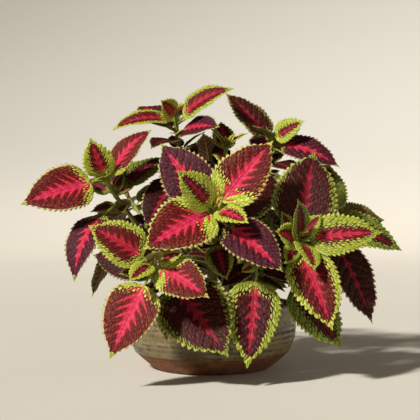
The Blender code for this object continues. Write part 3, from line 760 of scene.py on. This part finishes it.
def blade_tree():
    """The leaves of a shoot: a closed grid at each point, bent and toothed by its sizes."""
    board, given = shaping_board("leaf_blades", {
        "Thickness": 0.5 * MM, "Tooth Depth": 0.12, "Tooth Lean": 0.4, "Quilting": 0.65 * MM,
        "Blistering": 0.35 * MM, "Rib": 0.35 * MM, "Ripple": 0.8 * MM,
        "Material": bpy.types.Material,
    })
    joint = board.node("GeometryNodeJoinGeometry")
    for number, size in enumerate(GRIDS):
        chosen = abs(attribute(board, "grid") - number) < 0.5
        columns = size.upper_columns + size.under_columns
        grid = board.node("GeometryNodeMeshGrid", {
            0: 1.0, 1: 1.0, 2: columns + 1, 3: size.rows_a_tooth * size.teeth + 1,
        })
        x, y, _ = board.parts(board.node("GeometryNodeInputPosition"))
        upper = size.upper_columns / columns
        below = x + 0.5 > upper
        under_way = (x + 0.5 - upper) * (2 / (1 - upper)) - 1.0
        across = board.between(
            below, 1.0 - (x + 0.5) * (2 / upper), board.sin(under_way * (math.pi / 2))
        )
        strip = stored(board, grid, "across_blade", across)
        strip = stored(board, strip, "along_blade", y + 0.5)
        strip = stored(board, strip, "underside", below, "FLOAT", "FACE")
        board.put(joint.socket.node.inputs[0], board.node("GeometryNodeInstanceOnPoints", {
            "Points": given["Geometry"], "Selection": chosen, "Instance": strip,
        }))
    real = board.node("GeometryNodeRealizeInstances", {0: joint})

    across, along, underside, seed, length, half_width, teeth, veins, arch, bend_radius, stalk = (
        attribute(board, name) for name in (
            "across_blade", "along_blade", "underside", "seed", "length", "half_width", "teeth",
            "veins", "arch", "bend_radius", "stalk",
        )
    )
    node, along_way, up_way = (attribute(board, n, "FLOAT_VECTOR") for n in ("node", "along", "up"))

    # The outline: teeth that lean to the tip
    edge = abs(across)
    layer = 1.0 - underside * 2.0
    ends = board.ramp(along, 0.0, BASE_EASED_TO) * board.ramp(along, 1.0, TIP_EASED_FROM)
    lobe = board.hump(along * teeth)
    at_edge = edge**6.0
    t = along + at_edge * lobe * ends * given["Tooth Lean"] / teeth
    width = half_outline(board, along) * half_width
    half = width * (1.0 + (lobe - 0.6) * at_edge * ends * given["Tooth Depth"])
    reach = edge * half

    # The relief: a fold at the midrib, quilting between the veins, and ribs on the underside
    _, swell, crest = veining(board, along, reach / length, across, seed, veins)
    scale = length / RELIEF_LENGTH
    inner = board.ramp(edge, 0.02, 0.25) * (1.0 - edge**6.0 * 0.4)
    quilt = (swell - 0.5) * given["Quilting"] + (crest - 0.5) * given["Blistering"]
    lowest = (given["Quilting"] + given["Blistering"]) * -0.5
    quilt = board.between(underside * (1.0 - edge**10.0), quilt, lowest)
    quilt = quilt * inner * ends * scale
    ripple = board.sin(along * RIPPLE_PACE + seed * 40.0 + across * RIPPLE_SKEW)
    ripple = ripple * edge**3.0 * ends * scale
    rounded = board.root(reach * reach + CREASE_RADIUS**2) - CREASE_RADIUS
    rise = rounded * math.sin(FOLD) - reach * reach * CURL / board.most(width, reach + 1e-6)
    rise = rise + quilt + ripple * given["Ripple"]
    thick = board.root(1.0 - edge**10.0) * board.root(ends) * given["Thickness"] * 0.5
    rib = (1.0 - swell) ** 4.0 * inner * ends * (1.0 - edge) * scale * given["Rib"]
    rise = rise + layer * thick - (1.0 - layer) * 0.5 * rib

    # The bend along the leaf, and its place on the stem
    angle = arch * (0.5 - (stalk + (1.0 - stalk) * t))
    x = bend_radius * (board.sin(arch * 0.5) - board.sin(angle)) - board.sin(angle) * rise
    z = bend_radius * (board.cos(angle) - board.cos(arch * 0.5)) + board.cos(angle) * rise
    side_way = board.maths("CROSS_PRODUCT", up_way, along_way)
    place = node + along_way * x + up_way * z + side_way * (across * half * math.cos(FOLD))
    bent = board.node("GeometryNodeSetPosition", {"Geometry": real, "Position": place})

    chart = board.joined(across * 0.5 + 0.5, along, 0.0)
    charted = stored(board, bent, "leaf_map", chart, "FLOAT2", "CORNER")
    closed = board.node("GeometryNodeMergeByDistance", {"Geometry": charted, "Distance": 1e-6})
    return finish_shape(board, closed, given["Material"])


BLADE_SIZES = ("length", "half_width", "stalk", "arch", "bend_radius", "node", "along", "up")


def blade_cloud(name, blades, seed):
    """A point for each leaf, which carries the leaf's sizes, frame and look."""
    rng = np.random.default_rng(seed)
    rows = []
    for blade in blades:
        grid = next(g for g in GRIDS if blade.chord < g.up_to)
        rows.append({
            "seed": rng.uniform(0, 1),
            "grid": GRIDS.index(grid),
            "teeth": grid.teeth,
            "veins": grid.veins,
            **{key: getattr(blade, key) for key in BLADE_SIZES},
            **{f"look_{key}": value for key, value in blade.look._asdict().items()},
        })
    mesh = bpy.data.meshes.new(name)
    mesh.from_pydata([tuple(row["node"]) for row in rows], [], [])
    for key in rows[0]:
        values = np.array([row[key] for row in rows], np.float32)
        kind, field = ("FLOAT_VECTOR", "vector") if values.ndim == 2 else ("FLOAT", "value")
        mesh.attributes.new(key, kind, "POINT").data.foreach_set(field, values.ravel())
    return mesh


# Stems


def stalk_tree():
    """Stalks swept along lines: lobed in section, as thick as each point's own radius."""
    board, given = shaping_board("swept_stalks", {
        "Sides": 12, "Lobe Depth": 0.0, "Material": bpy.types.Material,
    })
    lines = board.node("GeometryNodeMeshToCurve", {0: given["Geometry"]})
    ring = board.node("GeometryNodeCurvePrimitiveCircle", {
        "Resolution": given["Sides"], "Radius": 1.0,
    })
    place = board.node("GeometryNodeInputPosition")
    x, y, _ = board.parts(place)
    turn = board.maths("ARCTAN2", y, x)
    lobed = place * (1.0 + board.cos(turn * 4.0) * given["Lobe Depth"])
    section = board.node("GeometryNodeSetPosition", {"Geometry": ring, "Position": lobed})
    swept = board.node("GeometryNodeCurveToMesh", {
        "Curve": lines, "Profile Curve": section, "Scale": attribute(board, "thickness"),
        "Fill Caps": True,
    })
    return finish_shape(board, swept, given["Material"])


def line_mesh(name, lines):
    """Lines of (points, radii) as one mesh of edges with a radius at each point."""
    mesh = bpy.data.meshes.new(name)
    points = np.vstack([line for line, _ in lines])
    edges = []
    first = 0
    for line, _ in lines:
        edges += [(first + i, first + i + 1) for i in range(len(line) - 1)]
        first += len(line)
    mesh.from_pydata(points.tolist(), edges, [])
    radii = np.concatenate([radius for _, radius in lines]).astype(np.float32)
    mesh.attributes.new("thickness", "FLOAT", "POINT").data.foreach_set("value", radii)
    return mesh


STEM_ROWS = 60
NODE_SWELL = 0.28
NODE_REACH = 3.5 * MM


def stem_line(shoot, blades):
    """A stem from its foot in the soil to its tip, swollen where its leaves stand."""
    u = np.linspace(0, 1, STEM_ROWS)
    above = stem_point(shoot, u)
    travel = np.concatenate([[0], np.cumsum(np.linalg.norm(np.diff(above, axis=0), axis=1))])
    radius = STEM_RADIUS + (STEM_TIP_RADIUS - STEM_RADIUS) * u
    for at in sorted({blade.at for blade in blades}):
        gap = (travel - np.interp(at, u, travel)) / NODE_REACH
        radius = radius * (1 + NODE_SWELL * np.exp(-gap**2))
    foot = above[0] - [0, 0, STEM_SUNK]
    return np.vstack([foot, above]), np.concatenate([[STEM_RADIUS], radius])


# Rows for the stalk and for the midrib, of a small leaf and of a large one
STALK_ROWS = (4, 8)
RIB_ROWS = (6, 14)
RIB_END = 0.94
FULL_STALK_LEAF = 70 * MM
STALK_THICKNESS = 1.25
RIB_TIP_THICKNESS = 0.1
RIB_TAPER = 0.8
RIB_SUNK = 0.75


def leaf_line(blade):
    """A leaf's stalk, which runs on under the blade as its midrib."""
    size = 0.25 + 0.75 * min(1.0, blade.chord / FULL_STALK_LEAF)
    large = int(blade.chord >= SMALL_LEAF)
    q = np.concatenate([
        np.linspace(0, blade.stalk, STALK_ROWS[large], endpoint=False),
        np.linspace(blade.stalk, blade.stalk + (1 - blade.stalk) * RIB_END, RIB_ROWS[large]),
    ])
    t = np.clip((q - blade.stalk) / (1 - blade.stalk), 0, 1)
    rib = (1 - t) ** RIB_TAPER + RIB_TIP_THICKNESS
    radius = size * np.where(q < blade.stalk, STALK_THICKNESS, rib) * MM
    sunk = np.clip((q - 0.6 * blade.stalk) / (0.5 * blade.stalk + 1e-6), 0, 1) * radius * RIB_SUNK
    return blade.points(q, np.zeros_like(q), -sunk), radius


# Turned forms


def turned_tree():
    """A form turned from its profile's points, with throwing rings in its wall or lumps on top."""
    board, given = shaping_board("turned_form", {
        "Around": 180, "Points": 40, "Ring Depth": 0.0, "Ring Pitch": 5 * MM, "Ring Floor": 20 * MM,
        "Ring Top": 60 * MM, "Lump Height": 0.0, "Lump Floor": 50 * MM,
        "Material": bpy.types.Material,
    })
    grid = board.node("GeometryNodeMeshGrid", {
        0: 1.0, 1: 1.0, 2: given["Around"] + 1, 3: given["Points"],
    })
    place = board.node("GeometryNodeInputPosition")
    x, y, _ = board.parts(place)
    row = board.maths("ROUND", (y + 0.5) * (given["Points"] - 1))
    profile = board.node("GeometryNodeSampleIndex", {
        "Geometry": given["Geometry"], "Value": place, "Index": row,
    }, data_type="FLOAT_VECTOR")
    radius, _, height = board.parts(profile)
    turn = (x + 0.5) * (-2 * math.pi)
    waver = board.noise(board.joined(board.cos(turn), board.sin(turn), height * 40.0), 1.5)
    wall = board.ramp(height, given["Ring Floor"], given["Ring Floor"] + 2 * MM)
    wall = wall * board.ramp(height, given["Ring Top"], given["Ring Top"] - 2 * MM)
    rings = board.sin(height / given["Ring Pitch"] * 2 * math.pi + waver * 5.0)
    out = radius + rings * wall * given["Ring Depth"]
    spot = board.joined(board.cos(turn) * out, board.sin(turn) * out, height)
    lumps = board.noise(spot, 90.0, 4.0, 0.6) - 0.5
    top = board.ramp(height, given["Lump Floor"], given["Lump Floor"] + 1 * MM)
    raised = spot + board.joined(0.0, 0.0, lumps * top * given["Lump Height"])
    formed = board.node("GeometryNodeSetPosition", {"Geometry": grid, "Position": raised})
    closed = board.node("GeometryNodeMergeByDistance", {"Geometry": formed, "Distance": 1e-6})
    return finish_shape(board, closed, given["Material"])


def profile_mesh(name, profile):
    """A profile of (radius, height) points as a line of edges."""
    mesh = bpy.data.meshes.new(name)
    points = [(r, 0.0, z) for r, z in profile]
    mesh.from_pydata(points, [(i, i + 1) for i in range(len(points) - 1)], [])
    return mesh


def spaced(profile, step):
    """The profile with more points, none further apart than a step."""
    points = [profile[0]]
    for (r0, z0), (r1, z1) in zip(profile, profile[1:]):
        count = max(1, math.ceil(math.hypot(r1 - r0, z1 - z0) / step))
        for i in range(1, count + 1):
            points.append((r0 + (r1 - r0) * i / count, z0 + (z1 - z0) * i / count))
    return points


def eased(profile, rounds):
    """The profile with its corners cut, except at its ends."""
    for _ in range(rounds):
        cut = [profile[0]]
        for (r0, z0), (r1, z1) in zip(profile, profile[1:]):
            cut.append((0.75 * r0 + 0.25 * r1, 0.75 * z0 + 0.25 * z1))
            cut.append((0.25 * r0 + 0.75 * r1, 0.25 * z0 + 0.75 * z1))
        profile = [*cut, profile[-1]]
    return profile


def bowl_profile():
    """The thrown bowl: a clay foot, a step up to the glaze, a full belly and a rounded lip."""
    inner = BOWL_RADIUS - BOWL_WALL
    lip = BOWL_RADIUS - LIP_SET_IN
    inside = [
        (0, FLOOR_THICKNESS),
        (BASE_RADIUS - 4 * MM, FLOOR_THICKNESS),
        (FOOT_RADIUS - BOWL_WALL, FOOT_HEIGHT + 4 * MM),
        (inner, 0.5 * BOWL_HEIGHT),
        (inner - 0.5 * MM, BOWL_HEIGHT - 3 * MM),
        (inner + 1 * MM, BOWL_HEIGHT - 0.6 * MM),
        (lip - 2.2 * MM, BOWL_HEIGHT),
        (lip - 0.8 * MM, BOWL_HEIGHT - 0.9 * MM),
        (lip, BOWL_HEIGHT - 3 * MM),
        (BOWL_RADIUS, 0.72 * BOWL_HEIGHT),
        (BOWL_RADIUS, 0.6 * BOWL_HEIGHT),
        (BOWL_RADIUS - 1.4 * MM, 0.45 * BOWL_HEIGHT),
        (FOOT_RADIUS + GLAZE_STEP, FOOT_HEIGHT),
    ]
    foot = [
        (FOOT_RADIUS, FOOT_HEIGHT - 0.6 * MM),
        (BASE_RADIUS + 11 * MM, 8.5 * MM),
        (BASE_RADIUS + 1.5 * MM, 1.2 * MM),
        (BASE_RADIUS - 0.5 * MM, 0),
    ]
    return [*eased(inside, 2), *eased(foot, 2), (0, 0)]


def soil_profile():
    """The soil: a low crown, an edge just clear of the wall, and a body that fills the bowl."""
    low_radius = FOOT_RADIUS - BOWL_WALL - 4 * MM
    return [
        (0, SOIL_CROWN),
        (0.45 * SOIL_RADIUS, SOIL_CROWN - 0.6 * MM),
        (0.85 * SOIL_RADIUS, SOIL_EDGE + 2 * MM),
        (SOIL_RADIUS, SOIL_EDGE),
        (SOIL_RADIUS, 0.5 * BOWL_HEIGHT),
        (low_radius, FOOT_HEIGHT + 4 * MM),
        (BASE_RADIUS - 9 * MM, FLOOR_THICKNESS + SEAT_GAP),
        (0, FLOOR_THICKNESS + SEAT_GAP),
    ]


# Scattered bits


ANY_TURN = (6.28, 6.28, 6.28)


def scatter_tree(name, bit, values, upright):
    """Bits strewn over a surface, standing along its normals or tumbled.

    Level is the least upward share of the normal where they lie.
    """
    board, given = shaping_board(name, {
        "Density": 1000.0, "Smallest": 0.5, "Largest": 1.0, "Level": -2.0, "Seed": 1,
        "Material": bpy.types.Material,
    })
    _, _, rise = board.parts(board.node("GeometryNodeInputNormal"))
    spread = board.node("GeometryNodeDistributePointsOnFaces", {
        "Mesh": given["Geometry"], "Selection": rise > given["Level"], "Density": given["Density"],
        "Seed": given["Seed"],
    })
    tumble = board.node("FunctionNodeRandomValue", {
        0: (0.0, 0.0, 0.0), 1: ANY_TURN, "Seed": given["Seed"],
    }, data_type="FLOAT_VECTOR")
    size = board.node("FunctionNodeRandomValue", {
        2: given["Smallest"], 3: given["Largest"], "Seed": given["Seed"] + 1,
    }, 1, data_type="FLOAT")
    strewn = board.node("GeometryNodeInstanceOnPoints", {
        "Points": spread, "Instance": board.node(bit, values),
        "Rotation": spread.other("Rotation") if upright else tumble, "Scale": size,
    })
    return finish_shape(board, strewn, given["Material"])


# Materials


def paint(red, green, blue):
    """A colour given as on a screen, 0 to 255, in linear light."""
    shares = (red / 255, green / 255, blue / 255)
    return tuple(((c + 0.055) / 1.055) ** 2.4 if c > 0.04 else c / 12.92 for c in shares)


def skin(name):
    """A material, its board, and where a point of the piece is."""
    made = bpy.data.materials.new(name)
    made.use_nodes = True
    made.node_tree.nodes.clear()
    board = Board(made.node_tree)
    return made, board, board.node("ShaderNodeTexCoord", (), "Object")


def finish_skin(board, values):
    shader = board.node("ShaderNodeBsdfPrincipled", values)
    board.node("ShaderNodeOutputMaterial", {"Surface": shader})


def relief(board, height, distance):
    """A bump of a real height."""
    return board.node("ShaderNodeBump", {"Height": height, "Distance": distance})


def own(board, name):
    """A value that each leaf carries."""
    return board.node("ShaderNodeAttribute", (), "Fac", attribute_name=name)


def leaf_skin():
    """A coleus leaf: a flame along the midrib, a dark field and a lime margin, all blistered."""
    made, board, _ = skin("variegated_leaf")
    u, along, _ = board.parts(board.node("ShaderNodeUVMap", (), uv_map="leaf_map"))
    across = u * 2.0 - 1.0
    edge = abs(across)
    seed = own(board, "seed")
    length = own(board, "length")
    look = {name: own(board, f"look_{name}") for name in Look._fields}

    wide = half_outline(board, along) * own(board, "half_width") / length
    reach = edge * wide
    flat = board.joined(across * wide, along, seed * 9.0)
    grain = board.noise(flat, 30.0, 3.0, 0.65)
    patch = board.noise(flat, 5.0, 2.0)
    phase, swell, crest = veining(board, along, reach, across, seed, own(board, "veins"))
    vein = (1.0 - swell) ** 3.0
    lobe = board.hump(along * own(board, "teeth"))
    speckle = (crest - 0.5) * 0.5 + (grain - 0.5) * 0.6

    # The flame: a band that tapers to the tip, with a spike on each side vein
    which = board.joined(board.maths("FLOOR", phase + 0.5) * 3.3, (across > 0.0) * 5.0, seed * 50.0)
    lot = board.ramp(board.noise(which, 1.0), 0.3, 0.7, 0.5, 1.2)
    band = board.ramp(along, 0.0, 0.12) * board.ramp(along, 0.96, 0.6, 0.0, 1.0)
    near_vein = board.most(1.0 - (0.5 - abs(phase % 1.0 - 0.5)) * 3.1, 0.0)
    spike = near_vein * board.ramp(along, 0.95, 0.3) * lot
    heart = look["flame"] * (band * 0.17 + spike * 0.43 * board.ramp(along, 0.0, 0.08))
    burning = board.ramp(heart - edge + (grain - 0.5) * 0.07, -0.01, 0.035)
    glow = board.ramp(heart - edge, -0.2, 0.0)

    # The lime: on the margin, round the stalk and at the tip, broken up by the blisters
    margin = board.ramp(edge, 1.1 - look["lime"] * 0.85, 1.25 - look["lime"] * 0.45)
    foot = board.ramp(along - edge * 0.12, 0.06 + look["base"] * 0.34, -0.04) * look["base"]
    tip = board.ramp(along + edge * 0.03, 0.9 - look["lime"] * 0.1, 0.97 - look["lime"] * 0.06)
    greening = board.most(board.most(margin, foot * 1.7), tip)
    broken = greening + speckle + vein * (foot * 0.9 - 0.4)
    limed = board.ramp(broken, 0.5, 0.68) * board.ramp(greening, 0.02, 0.15)

    # The field: maroon or near black, with purple, rust, a crimson glow and tan in places. Each hue is
    # darker in the blister valleys, a painted shade, and lighter on the blister tops, a painted
    # highlight.
    warm = board.blend(crest, paint(70, 8, 12), paint(126, 24, 24))
    murk = board.blend(board.ramp(patch, 0.4, 0.65), paint(72, 18, 20), paint(60, 38, 20))
    gloom = board.blend(crest, paint(26, 6, 10), murk)
    purple = board.blend(crest, paint(40, 8, 20), paint(88, 30, 50))
    rust = board.blend(crest, paint(74, 24, 10), paint(136, 62, 24))
    rusted = board.ramp(edge, 0.35, 0.95) * (0.25 + look["lime"] * 0.35)
    crimson = board.blend(look["dark"], paint(128, 14, 28), paint(62, 8, 14))
    # Tan on the blister tops near the margin: partly the leaf's own tan, partly painted sun glints.
    tan_and_painted_glint = board.ramp(edge, 0.5, 1.0) * board.ramp(crest * 0.5 + grain, 0.9, 1.2)
    field = board.coated(
        board.blend(look["dark"], warm, gloom),
        (board.ramp(look["dark"] * look["pink"] + patch * 0.3, 0.4, 0.75), purple),
        (vein * 0.2, paint(140, 50, 50)),
        (rusted * (1.0 - look["dark"] * 0.8), rust),
        (glow * 0.75, crimson),
        (tan_and_painted_glint * board.ramp(look["dark"], 0.9, 0.1), paint(190, 122, 70)),
    )

    # The flame's pinks and the lime's greens
    hot = board.blend(board.ramp(edge, 0.02, 0.3), paint(218, 44, 88), paint(184, 24, 36))
    dull = board.blend(look["dark"], paint(176, 32, 30), paint(108, 14, 26))
    dull = board.blend(vein * 0.8, dull, paint(150, 34, 42))
    fire = board.coated(
        board.blend(look["pink"], dull, hot),
        (vein * 0.35, board.blend(look["pink"], paint(150, 40, 50), paint(242, 108, 130))),
        # The flame is darker in the blister valleys: painted shade.
        ((1.0 - crest) * 0.3, paint(120, 10, 34)),
    )
    leafy = board.blend(look["fresh"], paint(46, 66, 18), paint(144, 164, 36))
    pale_lit_lime = board.blend(look["fresh"], paint(88, 108, 42), paint(204, 206, 92))
    # The lime is lighter on the blister tops, a painted highlight, and deeper in the valleys, a painted
    # shade. Along the veins near the base it is truly paler.
    green = board.blend(board.ramp(crest + vein * foot, 0.2, 0.9), leafy, pale_lit_lime)

    # The pale beads on the teeth, the midrib and the underside
    cream = board.blend(look["lime"], paint(214, 188, 138), paint(196, 204, 84))
    bead = board.ramp(edge + lobe * 0.05, 0.94, 0.985) * board.ramp(lobe + grain * 0.6, 0.4, 0.9)
    rib = board.ramp(edge * wide * length, 0.8 * MM, 0.3 * MM) * board.ramp(along, 0.95, 0.6)
    below = board.coated(
        board.blend(look["dark"], paint(136, 80, 64), paint(78, 42, 44)),
        (limed * 0.8, paint(128, 142, 70)),
        (board.most(vein, rib), paint(150, 146, 84)),
    )
    colour = board.coated(
        field,
        (limed, green),
        (burning, fire),
        (bead * board.ramp(look["dark"], 1.6, 0.2, 0.4, 0.95), cream),
        (rib * 0.6, board.blend(board.ramp(along, 0.22, 0.05), paint(138, 14, 46), pale_lit_lime)),
        (own(board, "underside"), below),
    )
    finish_skin(board, {
        "Base Color": colour, "Roughness": board.ramp(grain, 0.3, 0.7, 0.48, 0.62),
        "Specular IOR Level": 0.2,
        "Normal": relief(board, (crest + swell * 0.4 + grain * 0.25) * length, 4.2 * MM),
    })
    return made


def stalk_skin():
    """A square green stem, flushed with brown and red."""
    made, board, place = skin("green_stem")
    flush = board.noise(place, 60.0, 3.0)
    fine = board.noise(place, 900.0, 2.0)
    colour = board.blend(board.ramp(flush, 0.35, 0.7), paint(142, 154, 62), paint(124, 100, 52))
    finish_skin(board, {
        "Base Color": colour, "Roughness": 0.5 + fine * 0.15,
        "Normal": relief(board, fine, 0.15 * MM),
    })
    return made


def hair_skin():
    """Pale hairs."""
    made, board, place = skin("stem_hair")
    pale = board.noise(place, 300.0)
    colour = board.blend(pale, paint(206, 206, 170), paint(232, 228, 206))
    finish_skin(board, {"Base Color": colour, "Roughness": 0.6})
    return made


def stoneware_skin():
    """A mottled beige glaze over brown clay, which is bare on the foot."""
    made, board, place = skin("mottled_glaze")
    _, _, height = board.parts(place)
    cloud = board.noise(place, 22.0, 5.0, 0.6)
    mottle = board.noise(place, 120.0, 4.0, 0.65)
    speck = board.noise(place, 700.0, 2.0)
    band = board.sin(height * (2 * math.pi / (5 * MM)) + cloud * 6.0)
    streak = board.noise(place * (12.0, 12.0, 140.0), 1.0, 3.0, 0.6)
    worn = board.ramp(height, BOWL_HEIGHT - 1.6 * MM, BOWL_HEIGHT - 0.3 * MM)
    glaze = board.coated(
        board.blend(board.ramp(cloud, 0.35, 0.65), paint(98, 86, 56), paint(132, 118, 84)),
        (board.ramp(mottle + band * 0.08, 0.48, 0.72), paint(80, 62, 36)),
        (board.ramp(streak, 0.5, 0.72) * 0.7, paint(66, 54, 30)),
        # Pale cream streaks: partly the glaze's own pale runs, partly painted glints.
        (board.ramp(streak, 0.42, 0.25) * 0.6, paint(182, 172, 144)),
        (board.ramp(speck, 0.6, 0.72) * 0.8, paint(62, 44, 30)),
        (worn * board.ramp(mottle, 0.3, 0.6), paint(104, 78, 52)),
    )
    turning = board.noise(place * (20.0, 20.0, 600.0), 1.0, 3.0, 0.6)
    clay = board.coated(
        board.blend(board.ramp(mottle, 0.3, 0.7), paint(140, 92, 56), paint(108, 66, 38)),
        (board.ramp(turning, 0.5, 0.7) * 0.5, paint(78, 46, 26)),
    )
    edge_at = FOOT_HEIGHT + (streak - 0.5) * 2.4 * MM
    bare = board.ramp(height - edge_at, 0.5 * MM, -0.3 * MM)
    finish_skin(board, {
        "Base Color": board.blend(bare, glaze, clay),
        "Roughness": board.between(bare, board.ramp(mottle, 0.3, 0.7, 0.3, 0.5), 0.85),
        "Normal": relief(board, mottle + streak * 0.6 + speck * 0.3 * bare, 0.5 * MM),
    })
    return made


def soil_skin(name, dry, wet):
    """Crumbly matter of two colours."""
    made, board, place = skin(name)
    crumb = board.noise(place, 400.0, 4.0, 0.65)
    finish_skin(board, {
        "Base Color": board.blend(board.ramp(crumb, 0.35, 0.7), wet, dry), "Roughness": 0.95,
        "Normal": relief(board, crumb, 0.6 * MM),
    })
    return made


# Putting the pieces in place

BODY = "root"


def carried(piece, slot, *nodes):
    """Puts a finished piece on the model's body, in the place of its nodes. The slot, its finish, is
    not used.
    """
    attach(piece, BODY)
    if nodes:
        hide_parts(*nodes)
    return piece


def make_bowl(tree, coat):
    """The bowl, with throwing rings on its glazed wall."""
    profile = spaced(bowl_profile(), 1.8 * MM)
    bowl = shaped("thrown_bowl", profile_mesh("bowl_profile", profile), tree, around=144,
                  points=len(profile), ring_depth=0.35 * MM, ring_pitch=5.2 * MM,
                  ring_floor=FOOT_HEIGHT + 2 * MM, ring_top=BOWL_HEIGHT - 6 * MM, material=coat)
    carried(bowl, "stoneware", "bowl")


def make_soil(tree, coat):
    """The lumpy bed of soil, with crumbs and perlite on it."""
    profile = spaced(soil_profile(), 2.0 * MM)
    soil = shaped("soil_bed", profile_mesh("soil_profile", profile), tree, around=120,
                  points=len(profile), lump_height=3 * MM, lump_floor=SOIL_EDGE - 1 * MM,
                  material=coat)
    carried(soil, "potting_soil", "soil")
    crumbs = scatter_tree(
        "crumbs", "GeometryNodeMeshIcoSphere", {"Radius": 1.0, "Subdivisions": 1}, False
    )
    pale = soil_skin("perlite", paint(214, 208, 196), paint(150, 140, 124))
    for name, density, smallest, largest, seed, cover in (
        ("soil_crumbs", 70000.0, 0.4 * MM, 1.5 * MM, 4, coat),
        ("perlite_grains", 3500.0, 0.6 * MM, 1.4 * MM, 9, pale),
    ):
        bits = shaped(name, soil.data.copy(), crumbs, density=density, smallest=smallest,
                      largest=largest, level=0.6, seed=seed, material=cover)
        carried(bits, "potting_soil")


def make_plant(coats):
    """Each leafy stem: its leaves, its stem, its leaf stalks and the hairs on the stem."""
    shoots = all_shoots()
    blades_of = settled(shoots)
    blades = blade_tree()
    stalks = stalk_tree()
    hairs = scatter_tree("hairs", "GeometryNodeMeshCone", {
        "Vertices": 3, "Radius Top": 0.0, "Radius Bottom": 0.05 * MM, "Depth": 1.0 * MM,
    }, True)
    for number, shoot in enumerate(shoots):
        place = shoot.name.removeprefix("shoot_")
        own_blades = blades_of[shoot.name]
        cloud = blade_cloud(f"leaf_points_{place}", own_blades + bud_blades(shoot), number)
        leaves = shaped(f"leaves_{place}", cloud, blades, material=coats["leaf"])
        stem_mesh = line_mesh(f"stem_line_{place}", [stem_line(shoot, own_blades)])
        stem = shaped(f"stem_{place}", stem_mesh, stalks, sides=16, lobe_depth=0.12,
                      material=coats["stem"])
        stalk_mesh = line_mesh(f"stalk_lines_{place}", [leaf_line(blade) for blade in own_blades])
        leaf_stalks = shaped(f"stalks_{place}", stalk_mesh, stalks, sides=6, material=coats["stem"])
        fuzz = shaped(f"hairs_{place}", stem.data.copy(), hairs, density=120000.0, smallest=0.5,
                      largest=1.0, seed=number, material=coats["hair"])
        for piece in (leaves, stem, leaf_stalks):
            carried(piece, "coleus_leaf", shoot.name)
        carried(fuzz, "coleus_leaf")


# The stage

IMAGE_WIDTH = 420
FOCAL_PIXELS = 1200
SENSOR = 36.0
CAMERA_AWAY = 1.2
CAMERA_HEIGHT = 0.186
CAMERA_SHIFT_LEFT = 0.002
CAMERA_PITCH = math.radians(1.385)
COVE_RADIUS = 2.3
COVE_BEND = 0.7
COVE_BEND_ROWS = 16
COVE_HEIGHT = 0.9
PLANT_MIDDLE = (0, 0, 0.13)
KEY_FROM = (-1.1, -1.0, 1.4)
KEY_POWER = 4.5
KEY_COLOUR = (1.0, 0.96, 0.87)
KEY_SPREAD = math.radians(6)
FILL_FROM = (1.3, -1.5, 0.9)
FILL_POWER = 2.6
FILL_COLOUR = (1.0, 0.94, 0.84)
FILL_SIZE = 1.2
SKY_STRENGTH = 0.105


def make_camera():
    """The camera, at the photograph's angle and distance."""
    data = bpy.data.cameras.new("camera")
    data.sensor_width = SENSOR
    data.lens = FOCAL_PIXELS / IMAGE_WIDTH * SENSOR
    camera = bpy.data.objects.new("camera", data)
    camera.location = (-CAMERA_SHIFT_LEFT, -CAMERA_AWAY, CAMERA_HEIGHT)
    camera.rotation_euler = (math.pi / 2 - CAMERA_PITCH, 0, 0)
    bpy.context.scene.collection.objects.link(camera)
    bpy.context.scene.camera = camera


def lamp(name, kind, place, power, colour, **settings):
    """A light that looks at the middle of the plant."""
    data = bpy.data.lights.new(name, kind)
    data.energy = power
    data.color = colour
    for setting, value in settings.items():
        setattr(data, setting, value)
    light = bpy.data.objects.new(name, data)
    light.location = place
    aim = Vector(PLANT_MIDDLE) - Vector(place)
    light.rotation_euler = aim.to_track_quat("-Z", "Y").to_euler()
    bpy.context.scene.collection.objects.link(light)


def cove_profile():
    """The studio floor, which bends up into a low wall all round."""
    turn = np.linspace(-math.pi / 2, 0, COVE_BEND_ROWS)
    bend = zip(COVE_RADIUS - COVE_BEND * (1 - np.cos(turn)), COVE_BEND * (1 + np.sin(turn)))
    return [(0, 0), *bend, (COVE_RADIUS, COVE_HEIGHT)]


def make_stage(tree):
    """A plain pale floor, a sun-like key light, a soft fill and a dim warm surround."""
    made, board, place = skin("pale_floor")
    _, _, height = board.parts(place)
    cloud = board.noise(place, 3.0, 4.0)
    floor_colour = board.blend(cloud, paint(208, 204, 196), paint(218, 214, 207))
    wall_share = board.ramp(height, 0.0, 0.3)
    finish_skin(board, {
        "Base Color": board.blend(wall_share, floor_colour, paint(194, 192, 188)), "Roughness": 0.8,
    })
    profile = cove_profile()
    floor = shaped("studio_floor", profile_mesh("cove_profile", profile), tree, around=96,
                   points=len(profile), material=made)
    lamp("key_light", "SUN", KEY_FROM, KEY_POWER, KEY_COLOUR, angle=KEY_SPREAD)
    lamp("fill_light", "AREA", FILL_FROM, FILL_POWER, FILL_COLOUR, size=FILL_SIZE)
    world = bpy.data.worlds.new("studio")
    world.use_nodes = True
    background = world.node_tree.nodes["Background"]
    background.inputs["Color"].default_value = (*paint(232, 208, 168), 1)
    background.inputs["Strength"].default_value = SKY_STRENGTH
    bpy.context.scene.world = world
    bpy.context.scene.view_settings.view_transform = "Standard"


def main():
    turned_forms = turned_tree()
    make_camera()
    make_stage(turned_forms)
    make_bowl(turned_forms, stoneware_skin())
    make_soil(turned_forms, soil_skin("potting_soil", paint(72, 54, 40), paint(30, 22, 16)))
    make_plant({"leaf": leaf_skin(), "stem": stalk_skin(), "hair": hair_skin()})


main()
